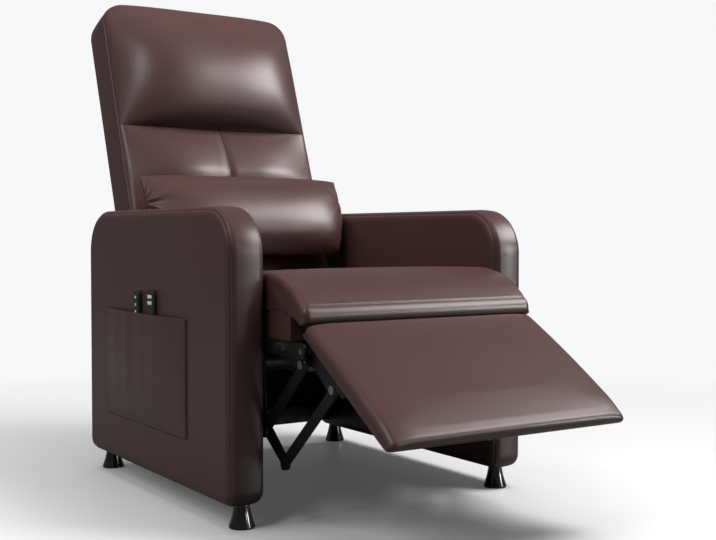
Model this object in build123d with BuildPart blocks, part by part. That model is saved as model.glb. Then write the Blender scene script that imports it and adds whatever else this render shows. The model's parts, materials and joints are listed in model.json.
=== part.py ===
from build123d import *

import math
import os

# Power recliner, in millimetres. It faces -Y and stands on Z = 0.
# Right and left are the sitter's: right is -X, left is +X.

# Overall sizes
overall_width = 660.0
arm_thickness = 72.0
arm_depth = 684.0
arm_top = 563.0
arm_center_y = 66.5
foot_height = 42.0

# Arms
arm_top_radius = 88.0
arm_base_radius = 30.0
arm_edge_round = 15.0
arm_core_thickness = 30.0
arm_core_margin = 20.0
arm_core_radius = 66.0
arm_bolt_front = 128.0
arm_bolt_rear = 156.0
bolt_in_core = 25.0

# Feet
foot_base_radius = 23.0
foot_neck_radius = 13.5
foot_waist_radius = 17.0
foot_lip = 4.0
foot_edge = 1.0
foot_inset = 35.0
foot_side_shift = 5.0
stud_radius = 4.0
stud_in_foot = 24.0
stud_in_core = 26.0

# Side pocket on the right arm, and the two handsets in it
pocket_width = 401.0
pocket_center_y = 96.5
pocket_top = 359.0
pocket_height = 222.0
pocket_room = 13.2
pocket_leather = 1.8
pocket_flare = 35.0
pocket_corner = 8.0
handset_clear = 0.3
handset_round = 4.0
recline_handset_size = (25.0, 10.0, 168.0)
recline_handset_y = 114.5
recline_handset_rise = 43.0
recline_button_radius = 3.0
recline_button_pitch = 14.5
recline_button_count = 3
comfort_handset_size = (33.0, 9.0, 150.0)
comfort_handset_y = 45.5
comfort_handset_rise = 47.0
comfort_key_size = (20.0, 7.0)
comfort_key_corner = 2.0
comfort_key_pitch = 12.0
comfort_key_count = 2
button_from_end = 13.0
button_proud = 0.4
button_depth = 3.0
button_travel = 1.0
button_clear = 0.2

# Steel plates, bolts and pivots
steel = 4.0
leg_steel = 5.0
link_gap = 1.0
bolt_radius = 4.0
bolt_head_radius = 7.5
bolt_head = 4.0
hole_clear = 0.1
pivot_radius = 5.0
pivot_clear = 0.05
shoulder_radius = 8.0
shoulder_clear = 0.3

# Seat rails and seat box
rail_top = 334.0
rail_height = 26.0
rail_flange = 28.0
rail_behind_recline = 18.0
rail_before_hinge = 14.0
rail_corner = 8.0
deck_top = 394.0
seat_box_gap = 9.0
seat_wrap = 2.0
board_thickness = 20.0
webbing_thickness = 2.0
webbing_width = 50.0
webbing_count = 5
webbing_pitch = 84.0

# Seat cushion
seat_gap = 8.0
seat_top = 448.0
seat_crown = 5.0
seat_back_gap = 136.0
seat_rest_gap = 0.3
nose_reach = 114.0
nose_seam_z = 394.5
nose_seam_back = 14.0
seat_draw = 9.0
nose_clear = 2.0
nose_heel_back = 13.0
nose_roll = (54.0, 20.0)
nose_bulge = 1.0
seat_crest = 20.0
seat_shoulder = (16.0, 8.0)
seat_rear_round = (3.0, 24.0)

# Footrest panel and its hinge, at rest
footrest_slope = 32.5
footrest_raise = 31.5
footrest_lower = 56.5
footrest_length = 286.5
footrest_tail = 12.5
footrest_thickness = 31.5
footrest_lift = 13.5
footrest_crown = 3.0
footrest_least_crown = 0.3
footrest_draw = 7.0
footrest_side_gap = 2.0
footrest_overhang = 3.0
footrest_edge = 10.0
footrest_toe_round = 15.0
footrest_toe_droop = 1.0
footrest_board = 12.0
footrest_board_margin = 10.0
footrest_board_short = 34.0
hinge_reach = 115.0
hinge_z = 320.0

# Footrest links
link_along = 92.0
link_drop = 7.7
crank_behind_arm_front = 53.0
crank_z = 170.0
brace_foot = 28.0
brace_head = (-2.0, 22.0)
bar_half_width = 10.0
eye_radius = 8.0
hinge_lug_radius = 13.0
brace_lug_radius = 12.0
lug_length = 95.0
lug_tail = 30.0
lug_bolts = (51.0, 73.0)
lug_bolt_rise = 4.0
leg_bolts = (-18.0, 10.0)
leg_head = 56.0
leg_pivot_radius = 17.0
leg_brace_radius = 14.0
leg_slot = (86.0, 22.0)
leg_slot_shift = 6.0
brace_half_width = 11.0
crank_boss_radius = 14.0
bracket_eye_radius = 12.0
bracket_start = 12.0
bracket_overrun = 32.0
bracket_depth = 14.0
footrest_drive_throw = 58.0

# Actuators
crossbar_y = -17.5
crossbar_size = 25.0
crossbar_wall = 2.5
crossbar_corner = 4.0
crossbar_drop = 3.0
actuator_x = 60.0
clevis_steel = 5.0
ear_thickness = 15.0
ear_radius = 12.0
gearbox_start = 22.0
gearbox_length = 62.0
gearbox_width = 58.0
gearbox_height = 54.0
gearbox_corner = 9.0
gearbox_round = 4.0
actuator_tube_radius = 17.0
actuator_tube_length = 190.0
actuator_tube_floor = 4.0
collar_length = 12.0
collar_proud = 2.5
rod_radius = 9.0
rod_in_tube = 128.0
rod_end_thickness = 8.0
rod_end_front = 16.0
rod_end_tail = 42.0
rod_end_half_height = 24.0
rod_end_corner = 6.0
weld_overlap = 4.0
motor_radius = 21.0
motor_length = 92.0
motor_round = 3.0
motor_cap_radius = 8.5
motor_cap_length = 4.0
yoke_slack = 2.6
slot_spare = 2.0
lever_foot_length = 56.0
lever_foot_width = 60.0
lever_foot_shift = 4.0

# Back
recline_rest = 20.0
recline_open = 30.0
recline_close = 7.0
recline_before_arm_back = 73.0
recline_drive_throw = 80.0
pivot_reach = 20.0
back_gap = 12.0
back_top = 768.0
back_foot = 30.0
shell_front = 52.0
shell_rear = -48.0
shell_corner = 62.0
shell_round = 13.0
shell_edge = 12.0
frame_thickness = 30.0
stile_width = 36.0
frame_top = 722.0
frame_foot = -28.0
frame_rail = 40.0
frame_mid = 350.0
pin_pocket_spare = 2.0
back_bracket_gap = 3.0
cushion_inset = 13.0
cushion_draw = 6.0
bolster_taper = 32.0
crease = 448.0
crease_gap = 2.0
cushion_seam = 3.0
mid_foot_gap = 12.0
mid_side = 8.0
mid_end_crown = 6.0
mid_crown = 28.0
mid_end_channel = 2.0
mid_channel = 13.0
head_side = 14.0
head_end_crown = 8.0
head_crown = 52.0
lumbar_gap = 8.0
lumbar_middle = 205.0
lumbar_height = 186.0
lumbar_front = 56.0
lumbar_rear = 40.0
lumbar_draw = 8.0
lumbar_pinch = 0.88
lumbar_clear = 0.6

# Stations of the cushion lofts, as shares of their length, and the powers by which their ends draw in
cushion_stations = (-1, -0.94, -0.82, -0.5, 0, 0.5, 0.82, 0.94, 1)
bolster_stations = (0, 0.05, 0.12, 0.25, 0.45, 0.65, 0.82, 0.94, 1)
draw_power = 14
mid_power = 8
bolster_foot_power = 12
bolster_taper_power = 6
bolster_top_power = 4

# Rear stretcher and control box
stretcher_bottom = 56.0
stretcher_height = 42.0
stretcher_thickness = 25.0
stretcher_from_arm_back = 26.0
stretcher_corner = 3.0
rear_panel_thickness = 4.0
rear_panel_top = 296.0
rear_panel_inset = 6.0
control_box_size = (150.0, 70.0, 34.0)
control_box_from_arm = 148.0
control_box_corner = 6.0
control_box_round = 3.0
inlet_radius = 2.8
inlet_depth = 11.0
inlet_collar_radius = 7.0
inlet_collar_proud = 2.0
inlet_floor = 2.0
inlet_cutout_radius = 14.0

# Places worked out from the sizes above
arm_outer = overall_width / 2
arm_inner = arm_outer - arm_thickness
arm_middle = arm_outer - arm_thickness / 2
foot_x = arm_middle - foot_side_shift
arm_front = arm_center_y - arm_depth / 2
arm_back = arm_center_y + arm_depth / 2
core_inner = arm_middle - arm_core_thickness / 2
foot_stations = {"front": arm_front + foot_inset, "rear": arm_back - foot_inset}
sides = {"right": -1, "left": 1}

rail_inner = arm_inner - steel
rail_middle_z = rail_top - rail_height / 2
leg_inner = rail_inner - leg_steel
brace_inner = leg_inner - steel
footrest_half = brace_inner - footrest_side_gap
pad_half = brace_inner + footrest_overhang
bracket_outer = footrest_half - link_gap
bracket_inner = bracket_outer - steel
bar_outer = bracket_inner - link_gap
bar_inner = bar_outer - steel
crank_outer = bar_inner - link_gap
crank_inner = crank_outer - steel

hinge_y = arm_front - hinge_reach
slope_cos = math.cos(math.radians(footrest_slope))
slope_sin = math.sin(math.radians(footrest_slope))
footrest_top = footrest_lift + footrest_thickness
footrest_toe = footrest_length - footrest_tail
footrest_swing = footrest_edge + math.hypot(footrest_tail - footrest_edge, footrest_top - footrest_edge)

recline_y = arm_back - recline_before_arm_back
recline_z = rail_middle_z
lean_cos = math.cos(math.radians(recline_rest))
lean_sin = math.sin(math.radians(recline_rest))
stile_outer = rail_inner - pivot_reach - steel
back_half = arm_inner - back_gap
control_box_x = control_box_from_arm - arm_inner


def footrest_point(along, rise):
    """Side-view point at a length along the footrest and a rise above its hinge line."""
    return (
        hinge_y - along * slope_cos - rise * slope_sin,
        hinge_z - along * slope_sin + rise * slope_cos,
    )


def footrest_plane(x):
    """Side plane of the footrest at x: first axis along the panel, second axis out of its top."""
    return Plane(origin=(x, hinge_y, hinge_z), x_dir=(0, -slope_cos, -slope_sin), z_dir=(-1, 0, 0))


def back_station(along):
    """Cross plane of the back at a height along it: second axis forward."""
    place = (0, recline_y + along * lean_sin, recline_z + along * lean_cos)
    return Plane(origin=place, x_dir=(-1, 0, 0), z_dir=(0, lean_sin, lean_cos))


def back_face(forward):
    """Front-view plane of the back, a distance forward of its hinge: second axis up the back."""
    place = (0, recline_y - forward * lean_cos, recline_z + forward * lean_sin)
    return Plane(origin=place, x_dir=(1, 0, 0), z_dir=(0, -lean_cos, lean_sin))


def back_side(x):
    """Side plane of the back at x: first axis up the back, second axis forward."""
    return Plane(origin=(x, recline_y, recline_z), x_dir=(0, lean_sin, lean_cos), z_dir=(1, 0, 0))


hinge = (hinge_y, hinge_z)
bracket_pivot = footrest_point(link_along, -link_drop)
crank_pivot = (arm_front + crank_behind_arm_front, crank_z)
bar_pivot = (
    crank_pivot[0] + bracket_pivot[0] - hinge[0],
    crank_pivot[1] + bracket_pivot[1] - hinge[1],
)
brace_low = (crank_pivot[0] - brace_foot, crank_z)
brace_high = (hinge_y - brace_head[0], hinge_z - brace_head[1])
recline_pivot = (recline_y, recline_z)

footrest_lever_rest = math.radians((footrest_lower - footrest_raise) / 2)
footrest_lever_half = math.radians((footrest_lower + footrest_raise) / 2)
footrest_pin = (
    hinge_y - footrest_drive_throw * math.sin(footrest_lever_rest),
    hinge_z - footrest_drive_throw * math.cos(footrest_lever_rest),
)
recline_lever_rest = math.radians((recline_open - recline_close) / 2)
recline_lever_half = math.radians((recline_open + recline_close) / 2)
recline_pin = (
    recline_y + recline_drive_throw * math.sin(recline_lever_rest),
    recline_z - recline_drive_throw * math.cos(recline_lever_rest),
)


def slot_rise(throw, half_angle):
    """Height through which a lever's pin moves while it swings evenly about straight down."""
    return throw * (1 - math.cos(half_angle))


footrest_rod_z = hinge_z - footrest_drive_throw + slot_rise(footrest_drive_throw, footrest_lever_half) / 2
recline_rod_z = recline_z - recline_drive_throw + slot_rise(recline_drive_throw, recline_lever_half) / 2

box_front = hinge_y + footrest_swing + seat_wrap + nose_clear
cushion_bottom = deck_top + webbing_thickness + seat_rest_gap
nose_front = arm_front - nose_reach
nose_bottom = hinge_z + footrest_swing + nose_clear
nose_heel = nose_front + nose_heel_back
seat_rear = arm_back - seat_back_gap
droop_slope = (cushion_bottom - nose_bottom) / (arm_front - nose_heel)
box_front_top = deck_top - droop_slope * (arm_front - box_front)
crossbar_top = rail_top - steel - crossbar_drop

os.makedirs("parts", exist_ok=True)


def side_disc(x, point, radius):
    """Round section at a side-view point, on the plane at x."""
    with BuildSketch(Plane.YZ.offset(x)) as section:
        with Locations(point):
            Circle(radius)
    return section.sketch


def link_outline(plane, eyes, holes):
    """Plate outline round several eyes, each a point and a radius, with holes of the same form."""
    with BuildSketch(plane) as outline:
        for point, radius in eyes:
            with Locations(point):
                Circle(radius)
        make_hull()
        for point, radius in holes:
            with Locations(point):
                Circle(radius, mode=Mode.SUBTRACT)
    return outline.sketch


def arm_outline(x, margin, top_radius):
    """Side outline of an arm at x, drawn in by a margin at its front, back and top."""
    height = arm_top - margin - foot_height
    with BuildSketch(Plane.YZ.offset(x)) as outline:
        with Locations((arm_center_y, foot_height + height / 2)):
            Rectangle(arm_depth - 2 * margin, height)
        fillet(outline.vertices().group_by(Axis.Y)[-1], top_radius)
        if margin == 0:
            fillet(outline.vertices().group_by(Axis.Y)[0], arm_base_radius)
    return outline.sketch


arm_bolt_stations = (arm_front + arm_bolt_front, arm_center_y, arm_back - arm_bolt_rear)

# Arms: a padded slab round a plywood core whose base is open to the feet
for side_name, side in sides.items():
    with BuildPart() as arm_core:
        extrude(arm_outline(side * core_inner, arm_core_margin, arm_core_radius),
                amount=side * arm_core_thickness)
        for y in arm_bolt_stations:
            extrude(side_disc(side * core_inner, (y, rail_middle_z), bolt_radius + hole_clear),
                    amount=side * bolt_in_core, mode=Mode.SUBTRACT)
        with Locations(*[(side * foot_x, y, foot_height) for y in foot_stations.values()]):
            Cylinder(stud_radius + hole_clear, 2 * stud_in_core, mode=Mode.SUBTRACT)
    arm_core.part.label = f"arm_core_{side_name}"
    export_step(arm_core.part, f"parts/arm_core_{side_name}.step")

    with BuildPart() as arm_pad:
        extrude(arm_outline(side * arm_inner, 0, arm_top_radius), amount=side * arm_thickness)
        fillet(arm_pad.faces().filter_by(Axis.X).edges(), arm_edge_round)
        extrude(arm_outline(side * core_inner, arm_core_margin, arm_core_radius),
                amount=side * arm_core_thickness, mode=Mode.SUBTRACT)
        for y in arm_bolt_stations:
            extrude(side_disc(side * arm_inner, (y, rail_middle_z), bolt_radius + hole_clear),
                    amount=side * (core_inner - arm_inner), mode=Mode.SUBTRACT)
    arm_pad.part.label = f"arm_pad_{side_name}"
    export_step(arm_pad.part, f"parts/arm_pad_{side_name}.step")

# Feet: flared round legs, each on a threaded stud in the arm's core
for side_name, side in sides.items():
    for end_name, y in foot_stations.items():
        with BuildPart() as foot:
            with BuildSketch(Plane.XZ.offset(-y)):
                with BuildLine():
                    Polyline(
                        (side * foot_x, foot_height),
                        (side * foot_x, 0),
                        (side * foot_x + foot_base_radius - foot_edge, 0),
                        (side * foot_x + foot_base_radius, foot_edge),
                        (side * foot_x + foot_base_radius, foot_lip),
                    )
                    ThreePointArc(
                        (side * foot_x + foot_base_radius, foot_lip),
                        (side * foot_x + foot_waist_radius, (foot_lip + foot_height) / 2),
                        (side * foot_x + foot_neck_radius, foot_height),
                    )
                    Line((side * foot_x + foot_neck_radius, foot_height),
                         (side * foot_x, foot_height))
                make_face()
            revolve(axis=Axis((side * foot_x, y, 0), (0, 0, 1)))
            with Locations((side * foot_x, y, foot_height)):
                Cylinder(stud_radius + hole_clear, 2 * stud_in_foot, mode=Mode.SUBTRACT)
        foot.part.label = f"foot_{end_name}_{side_name}"
        export_step(foot.part, f"parts/foot_{end_name}_{side_name}.step")

with BuildPart() as foot_studs:
    for side in sides.values():
        for y in foot_stations.values():
            with Locations((side * foot_x, y, foot_height - stud_in_foot)):
                Cylinder(stud_radius, stud_in_foot + stud_in_core,
                         align=(Align.CENTER, Align.CENTER, Align.MIN))
foot_studs.part.label = "foot_studs"
export_step(foot_studs.part, "parts/foot_studs.step")


# Side pocket: a leather patch sewn to the arm at its sides and base, open at the top
def pocket_block(inset, room):
    """Flared block on the arm's outer face: drawn in by an inset and raised by the pocket's room."""
    flare_rise = room * math.tan(math.radians(pocket_flare))
    height = pocket_height + 2 * flare_rise
    center_z = pocket_top - pocket_height + inset + height / 2
    face = Plane(origin=(-arm_outer, pocket_center_y, center_z), x_dir=(0, -1, 0), z_dir=(-1, 0, 0))
    with BuildSketch(face) as patch:
        RectangleRounded(pocket_width - 2 * inset, height, pocket_corner)
    return patch.sketch


with BuildPart() as side_pocket:
    extrude(pocket_block(0, pocket_room + pocket_leather), amount=pocket_room + pocket_leather,
            taper=pocket_flare)
    extrude(pocket_block(2 * pocket_leather, pocket_room), amount=pocket_room, taper=pocket_flare,
            mode=Mode.SUBTRACT)
    split(bisect_by=Plane.XY.offset(pocket_top), keep=Keep.BOTTOM)
side_pocket.part.label = "side_pocket"
export_step(side_pocket.part, "parts/side_pocket.step")


# Handsets: slim moulded cases that stand in the pocket against the arm
handset_back = -arm_outer - handset_clear


def handset_case(size, y, rise):
    """Outline of a handset's case on the arm's outer face, its top at a rise over the pocket."""
    width, thickness, height = size
    center = (handset_back, y, pocket_top + rise - height / 2)
    with BuildSketch(Plane(origin=center, x_dir=(0, -1, 0), z_dir=(-1, 0, 0))) as outline:
        RectangleRounded(width, height, 2 * handset_round)
    return outline.sketch


def handset_keys(size, y, rise, pitch, count):
    """Centres of a handset's keys on its outer face, from the top one down."""
    face_x = handset_back - size[1]
    first = pocket_top + rise - button_from_end
    return [(face_x, y, first - pitch * index) for index in range(count)]


def key_face(place, shift):
    """Plane across a key, shifted out of the handset's face."""
    return Plane(origin=(place[0] - shift, place[1], place[2]), x_dir=(0, -1, 0), z_dir=(-1, 0, 0))


recline_buttons = handset_keys(recline_handset_size, recline_handset_y, recline_handset_rise,
                               recline_button_pitch, recline_button_count)
comfort_keys = handset_keys(comfort_handset_size, comfort_handset_y, comfort_handset_rise,
                            comfort_key_pitch, comfort_key_count)
key_pocket = button_depth - button_proud + button_travel + button_clear

with BuildPart() as recline_handset:
    extrude(handset_case(recline_handset_size, recline_handset_y, recline_handset_rise),
            amount=recline_handset_size[1])
    fillet(recline_handset.faces().sort_by(Axis.X)[0].edges(), handset_round)
    for place in recline_buttons:
        with BuildSketch(key_face(place, 0)):
            Circle(recline_button_radius + button_clear)
        extrude(amount=-key_pocket, mode=Mode.SUBTRACT)
recline_handset.part.label = "recline_handset"
export_step(recline_handset.part, "parts/recline_handset.step")

for index, place in enumerate(recline_buttons, start=1):
    with BuildPart() as recline_button:
        with BuildSketch(key_face(place, button_proud)):
            Circle(recline_button_radius)
        extrude(amount=-button_depth)
        fillet(recline_button.faces().sort_by(Axis.X)[0].edges(), button_proud)
    recline_button.part.label = f"recline_button_{index}"
    export_step(recline_button.part, f"parts/recline_button_{index}.step")

with BuildPart() as comfort_handset:
    extrude(handset_case(comfort_handset_size, comfort_handset_y, comfort_handset_rise),
            amount=comfort_handset_size[1])
    fillet(comfort_handset.faces().sort_by(Axis.X)[0].edges(), handset_round)
    for place in comfort_keys:
        with BuildSketch(key_face(place, 0)):
            RectangleRounded(comfort_key_size[0] + 2 * button_clear,
                             comfort_key_size[1] + 2 * button_clear, comfort_key_corner + button_clear)
        extrude(amount=-key_pocket, mode=Mode.SUBTRACT)
comfort_handset.part.label = "comfort_handset"
export_step(comfort_handset.part, "parts/comfort_handset.step")

for index, place in enumerate(comfort_keys, start=1):
    with BuildPart() as comfort_key:
        with BuildSketch(key_face(place, button_proud)):
            RectangleRounded(*comfort_key_size, comfort_key_corner)
        extrude(amount=-button_depth)
        fillet(comfort_key.faces().sort_by(Axis.X)[0].edges(), button_proud)
    comfort_key.part.label = f"comfort_key_{index}"
    export_step(comfort_key.part, f"parts/comfort_key_{index}.step")

# Seat rails: a steel angle on each arm, with a welded lug that holds the footrest hinge
rail_front = hinge_y - rail_before_hinge
rail_length = recline_y + rail_behind_recline - rail_front
rail_holes = [(y, rail_middle_z) for y in arm_bolt_stations]
leg_bolt_points = [(crank_pivot[0] + reach, rail_middle_z) for reach in leg_bolts]
leg_middle_y = crank_pivot[0] + sum(leg_bolts) / len(leg_bolts)
lug_bolt_points = [(hinge_y + reach, hinge_z + lug_bolt_rise) for reach in lug_bolts]

for side_name, side in sides.items():
    with BuildPart() as seat_rail:
        with BuildSketch(Plane.YZ.offset(side * arm_inner)) as web:
            with Locations((rail_front + rail_length / 2, rail_middle_z)):
                Rectangle(rail_length, rail_height)
            fillet(web.vertices(), rail_corner)
            with Locations(*(rail_holes + leg_bolt_points + lug_bolt_points)):
                Circle(bolt_radius + hole_clear, mode=Mode.SUBTRACT)
            with Locations(hinge, recline_pivot):
                Circle(pivot_radius + hole_clear, mode=Mode.SUBTRACT)
        extrude(amount=-side * steel)
        with BuildSketch(Plane.XY.offset(rail_top)):
            with Locations((side * (rail_inner - rail_flange / 2), (box_front + seat_rear) / 2)):
                Rectangle(rail_flange, seat_rear - box_front)
        extrude(amount=-steel)
        with BuildSketch(Plane.YZ.offset(side * rail_inner)) as lug:
            for point, radius in ((hinge, hinge_lug_radius), (brace_high, brace_lug_radius)):
                with Locations(point):
                    Circle(radius)
            with Locations((hinge_y + lug_length - lug_tail / 2, rail_middle_z)):
                Rectangle(lug_tail, rail_height - 2 * steel)
            make_hull()
            with Locations(*lug_bolt_points, brace_high):
                Circle(bolt_radius + hole_clear, mode=Mode.SUBTRACT)
            with Locations(hinge):
                Circle(pivot_radius + hole_clear, mode=Mode.SUBTRACT)
        extrude(amount=-side * leg_steel)
    seat_rail.part.label = f"seat_rail_{side_name}"
    export_step(seat_rail.part, f"parts/seat_rail_{side_name}.step")

    # Link leg: hangs from the rail and carries the crank's stud and the brace's foot
    with BuildPart() as link_leg:
        with BuildSketch(Plane.YZ.offset(side * rail_inner)) as plate:
            with Locations(crank_pivot):
                Circle(leg_pivot_radius)
            with Locations(brace_low):
                Circle(leg_brace_radius)
            with Locations((leg_middle_y, rail_middle_z - steel / 2)):
                Rectangle(leg_head, rail_height - steel)
            make_hull()
            with Locations(*leg_bolt_points, brace_low):
                Circle(bolt_radius + hole_clear, mode=Mode.SUBTRACT)
            with Locations(crank_pivot):
                Circle(pivot_radius + hole_clear, mode=Mode.SUBTRACT)
            with Locations((crank_pivot[0] - leg_slot_shift, (crank_z + rail_middle_z) / 2)):
                SlotOverall(*leg_slot, rotation=90, mode=Mode.SUBTRACT)
        extrude(amount=-side * leg_steel)
    link_leg.part.label = f"link_leg_{side_name}"
    export_step(link_leg.part, f"parts/link_leg_{side_name}.step")

    # Front brace: fixed strut from the foot of the leg up to the hinge lug
    with BuildPart() as front_brace:
        eyes = [(brace_low, brace_half_width), (brace_high, brace_half_width)]
        holes = [(brace_low, bolt_radius + hole_clear), (brace_high, bolt_radius + hole_clear)]
        extrude(link_outline(Plane.YZ.offset(side * leg_inner), eyes, holes), amount=-side * steel)
    front_brace.part.label = f"front_brace_{side_name}"
    export_step(front_brace.part, f"parts/front_brace_{side_name}.step")

    # Crank: swings on the leg's stud and carries the lower end of the push bar
    with BuildPart() as crank:
        eyes = [(crank_pivot, crank_boss_radius), (bar_pivot, bar_half_width)]
        holes = [(crank_pivot, pivot_radius + pivot_clear), (bar_pivot, bolt_radius + pivot_clear)]
        extrude(link_outline(Plane.YZ.offset(side * crank_outer), eyes, holes), amount=-side * steel)
    crank.part.label = f"crank_{side_name}"
    export_step(crank.part, f"parts/crank_{side_name}.step")

    # Push bar: holds the footrest bracket parallel to the crank
    with BuildPart() as push_bar:
        eyes = [(bar_pivot, bar_half_width), (bracket_pivot, bar_half_width)]
        holes = [(bar_pivot, bolt_radius + hole_clear), (bracket_pivot, bolt_radius + hole_clear)]
        extrude(link_outline(Plane.YZ.offset(side * bar_outer), eyes, holes), amount=-side * steel)
    push_bar.part.label = f"push_bar_{side_name}"
    export_step(push_bar.part, f"parts/push_bar_{side_name}.step")

    # Rivets: fixed in the push bar, running in the bracket's eye and in the crank's eye
    with BuildPart() as link_rivets:
        extrude(side_disc(side * bar_inner, bracket_pivot, bolt_radius),
                amount=side * (bracket_outer + shoulder_clear - bar_inner))
        extrude(side_disc(side * (bracket_outer + shoulder_clear), bracket_pivot, bolt_head_radius),
                amount=side * bolt_head / 2)
        extrude(side_disc(side * bar_outer, bar_pivot, bolt_radius),
                amount=-side * (bar_outer - crank_inner + shoulder_clear))
        extrude(side_disc(side * (crank_inner - shoulder_clear), bar_pivot, bolt_head_radius),
                amount=-side * bolt_head / 2)
    link_rivets.part.label = f"link_rivets_{side_name}"
    export_step(link_rivets.part, f"parts/link_rivets_{side_name}.step")

    # Footrest bracket: eye plate under the panel's edge, with a flange on the board
    with BuildPart() as footrest_bracket:
        bracket_web = footrest_plane(side * bracket_outer)
        eyes = [((0, 0), eye_radius), ((link_along, -link_drop), bracket_eye_radius)]
        strip_length = link_along + bracket_overrun - bracket_start
        strip_middle = bracket_start + strip_length / 2
        holes = [((0, 0), pivot_radius + pivot_clear), ((link_along, -link_drop), bolt_radius + pivot_clear)]
        extrude(link_outline(bracket_web, eyes, holes), amount=side * steel)
        with BuildSketch(bracket_web):
            with Locations((strip_middle, footrest_lift - bracket_depth / 2)):
                Rectangle(strip_length, bracket_depth)
        extrude(amount=side * steel)
        with BuildSketch(bracket_web):
            with Locations((strip_middle, footrest_lift - steel / 2)):
                Rectangle(strip_length, steel)
        extrude(amount=side * rail_flange)
        with BuildSketch(bracket_web):
            with Locations((link_along, -link_drop)):
                Circle(bolt_radius + pivot_clear)
        extrude(amount=side * steel, mode=Mode.SUBTRACT)
    footrest_bracket.part.label = f"footrest_bracket_{side_name}"
    export_step(footrest_bracket.part, f"parts/footrest_bracket_{side_name}.step")

# Bolts of the arms, lugs, legs and braces
with BuildPart() as frame_bolts:
    for side in sides.values():
        for y in arm_bolt_stations:
            place = (y, rail_middle_z)
            extrude(side_disc(side * rail_inner, place, bolt_head_radius), amount=-side * bolt_head)
            extrude(side_disc(side * rail_inner, place, bolt_radius),
                    amount=side * (core_inner + bolt_in_core - rail_inner))
        for point in lug_bolt_points:
            extrude(side_disc(side * leg_inner, point, bolt_radius), amount=side * (arm_inner - leg_inner))
            extrude(side_disc(side * arm_inner, point, bolt_head_radius), amount=side * bolt_head)
        for point in leg_bolt_points:
            extrude(side_disc(side * arm_inner, point, bolt_radius), amount=-side * (arm_inner - leg_inner))
            extrude(side_disc(side * leg_inner, point, bolt_head_radius), amount=-side * bolt_head)
        shank = rail_inner - brace_inner
        extrude(side_disc(side * rail_inner, brace_low, bolt_radius), amount=-side * shank)
        extrude(side_disc(side * brace_inner, brace_low, bolt_head_radius), amount=-side * bolt_head)
        extrude(side_disc(side * brace_inner, brace_high, bolt_radius), amount=side * shank)
        extrude(side_disc(side * rail_inner, brace_high, bolt_head_radius), amount=side * bolt_head)
frame_bolts.part.label = "frame_bolts"
export_step(frame_bolts.part, "parts/frame_bolts.step")

# Pivots fixed to the base: footrest hinge, crank studs, recline hinge
with BuildPart() as pivot_pins:
    for side in sides.values():
        extrude(side_disc(side * arm_inner, hinge, pivot_radius), amount=-side * (arm_inner - bracket_inner))
        extrude(side_disc(side * leg_inner, hinge, shoulder_radius),
                amount=-side * (leg_inner - bracket_outer - shoulder_clear))
        extrude(side_disc(side * rail_inner, crank_pivot, pivot_radius),
                amount=-side * (rail_inner - crank_inner + shoulder_clear))
        extrude(side_disc(side * leg_inner, crank_pivot, shoulder_radius),
                amount=-side * (leg_inner - crank_outer - shoulder_clear))
        extrude(side_disc(side * (crank_inner - shoulder_clear), crank_pivot, bolt_head_radius),
                amount=-side * bolt_head)
        extrude(side_disc(side * arm_inner, recline_pivot, pivot_radius),
                amount=-side * (arm_inner - stile_outer + bolt_head))
        extrude(side_disc(side * rail_inner, recline_pivot, shoulder_radius),
                amount=-side * (pivot_reach - shoulder_clear))
pivot_pins.part.label = "pivot_pins"
export_step(pivot_pins.part, "parts/pivot_pins.step")

# Seat box: four boards on the rail flanges, covered by a leather skin
box_outer = arm_inner - seat_box_gap
board_outer = box_outer - seat_wrap


def seat_side_outline(front):
    """Side outline of the seat box from a front edge, its top falling away below the seat's nose."""
    front_top = deck_top - droop_slope * (arm_front - front)
    corners = [(front, rail_top), (seat_rear, rail_top), (seat_rear, deck_top),
               (arm_front, deck_top), (front, front_top)]
    return corners


with BuildPart() as seat_frame:
    for side in sides.values():
        with BuildSketch(Plane.YZ.offset(side * board_outer)):
            with BuildLine():
                Polyline(*seat_side_outline(box_front), close=True)
            make_face()
        extrude(amount=-side * board_thickness)
    board_ends = [(box_front, box_front_top), (seat_rear - board_thickness, deck_top)]
    for y, board_top in board_ends:
        with BuildSketch(Plane.XY.offset(rail_top)):
            with Locations((0, y + board_thickness / 2)):
                Rectangle(2 * (board_outer - board_thickness) - 2 * hole_clear, board_thickness)
        extrude(amount=board_top - rail_top)
seat_frame.part.label = "seat_frame"
export_step(seat_frame.part, "parts/seat_frame.step")

with BuildPart() as seat_skin:
    for side in sides.values():
        with BuildSketch(Plane.YZ.offset(side * box_outer)):
            with BuildLine():
                Polyline(*seat_side_outline(box_front - seat_wrap), close=True)
            make_face()
        extrude(amount=-side * seat_wrap)
    with BuildSketch(Plane.XZ.offset(-box_front)):
        with Locations((0, (rail_top + box_front_top) / 2)):
            Rectangle(2 * box_outer - 2 * seat_wrap, box_front_top - rail_top)
    extrude(amount=seat_wrap)
seat_skin.part.label = "seat_skin"
export_step(seat_skin.part, "parts/seat_skin.step")

with BuildPart() as seat_webbing:
    with BuildSketch(Plane.XY.offset(deck_top)):
        with Locations((0, (arm_front + seat_rear) / 2)):
            with GridLocations(webbing_pitch, 1, webbing_count, 1):
                Rectangle(webbing_width, seat_rear - arm_front)
    extrude(amount=webbing_thickness)
seat_webbing.part.label = "seat_webbing"
export_step(seat_webbing.part, "parts/seat_webbing.step")

# Seat cushion: lofted across the chair, crowned, with a nose that rolls down over the front
seat_half = arm_inner - seat_gap


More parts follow.
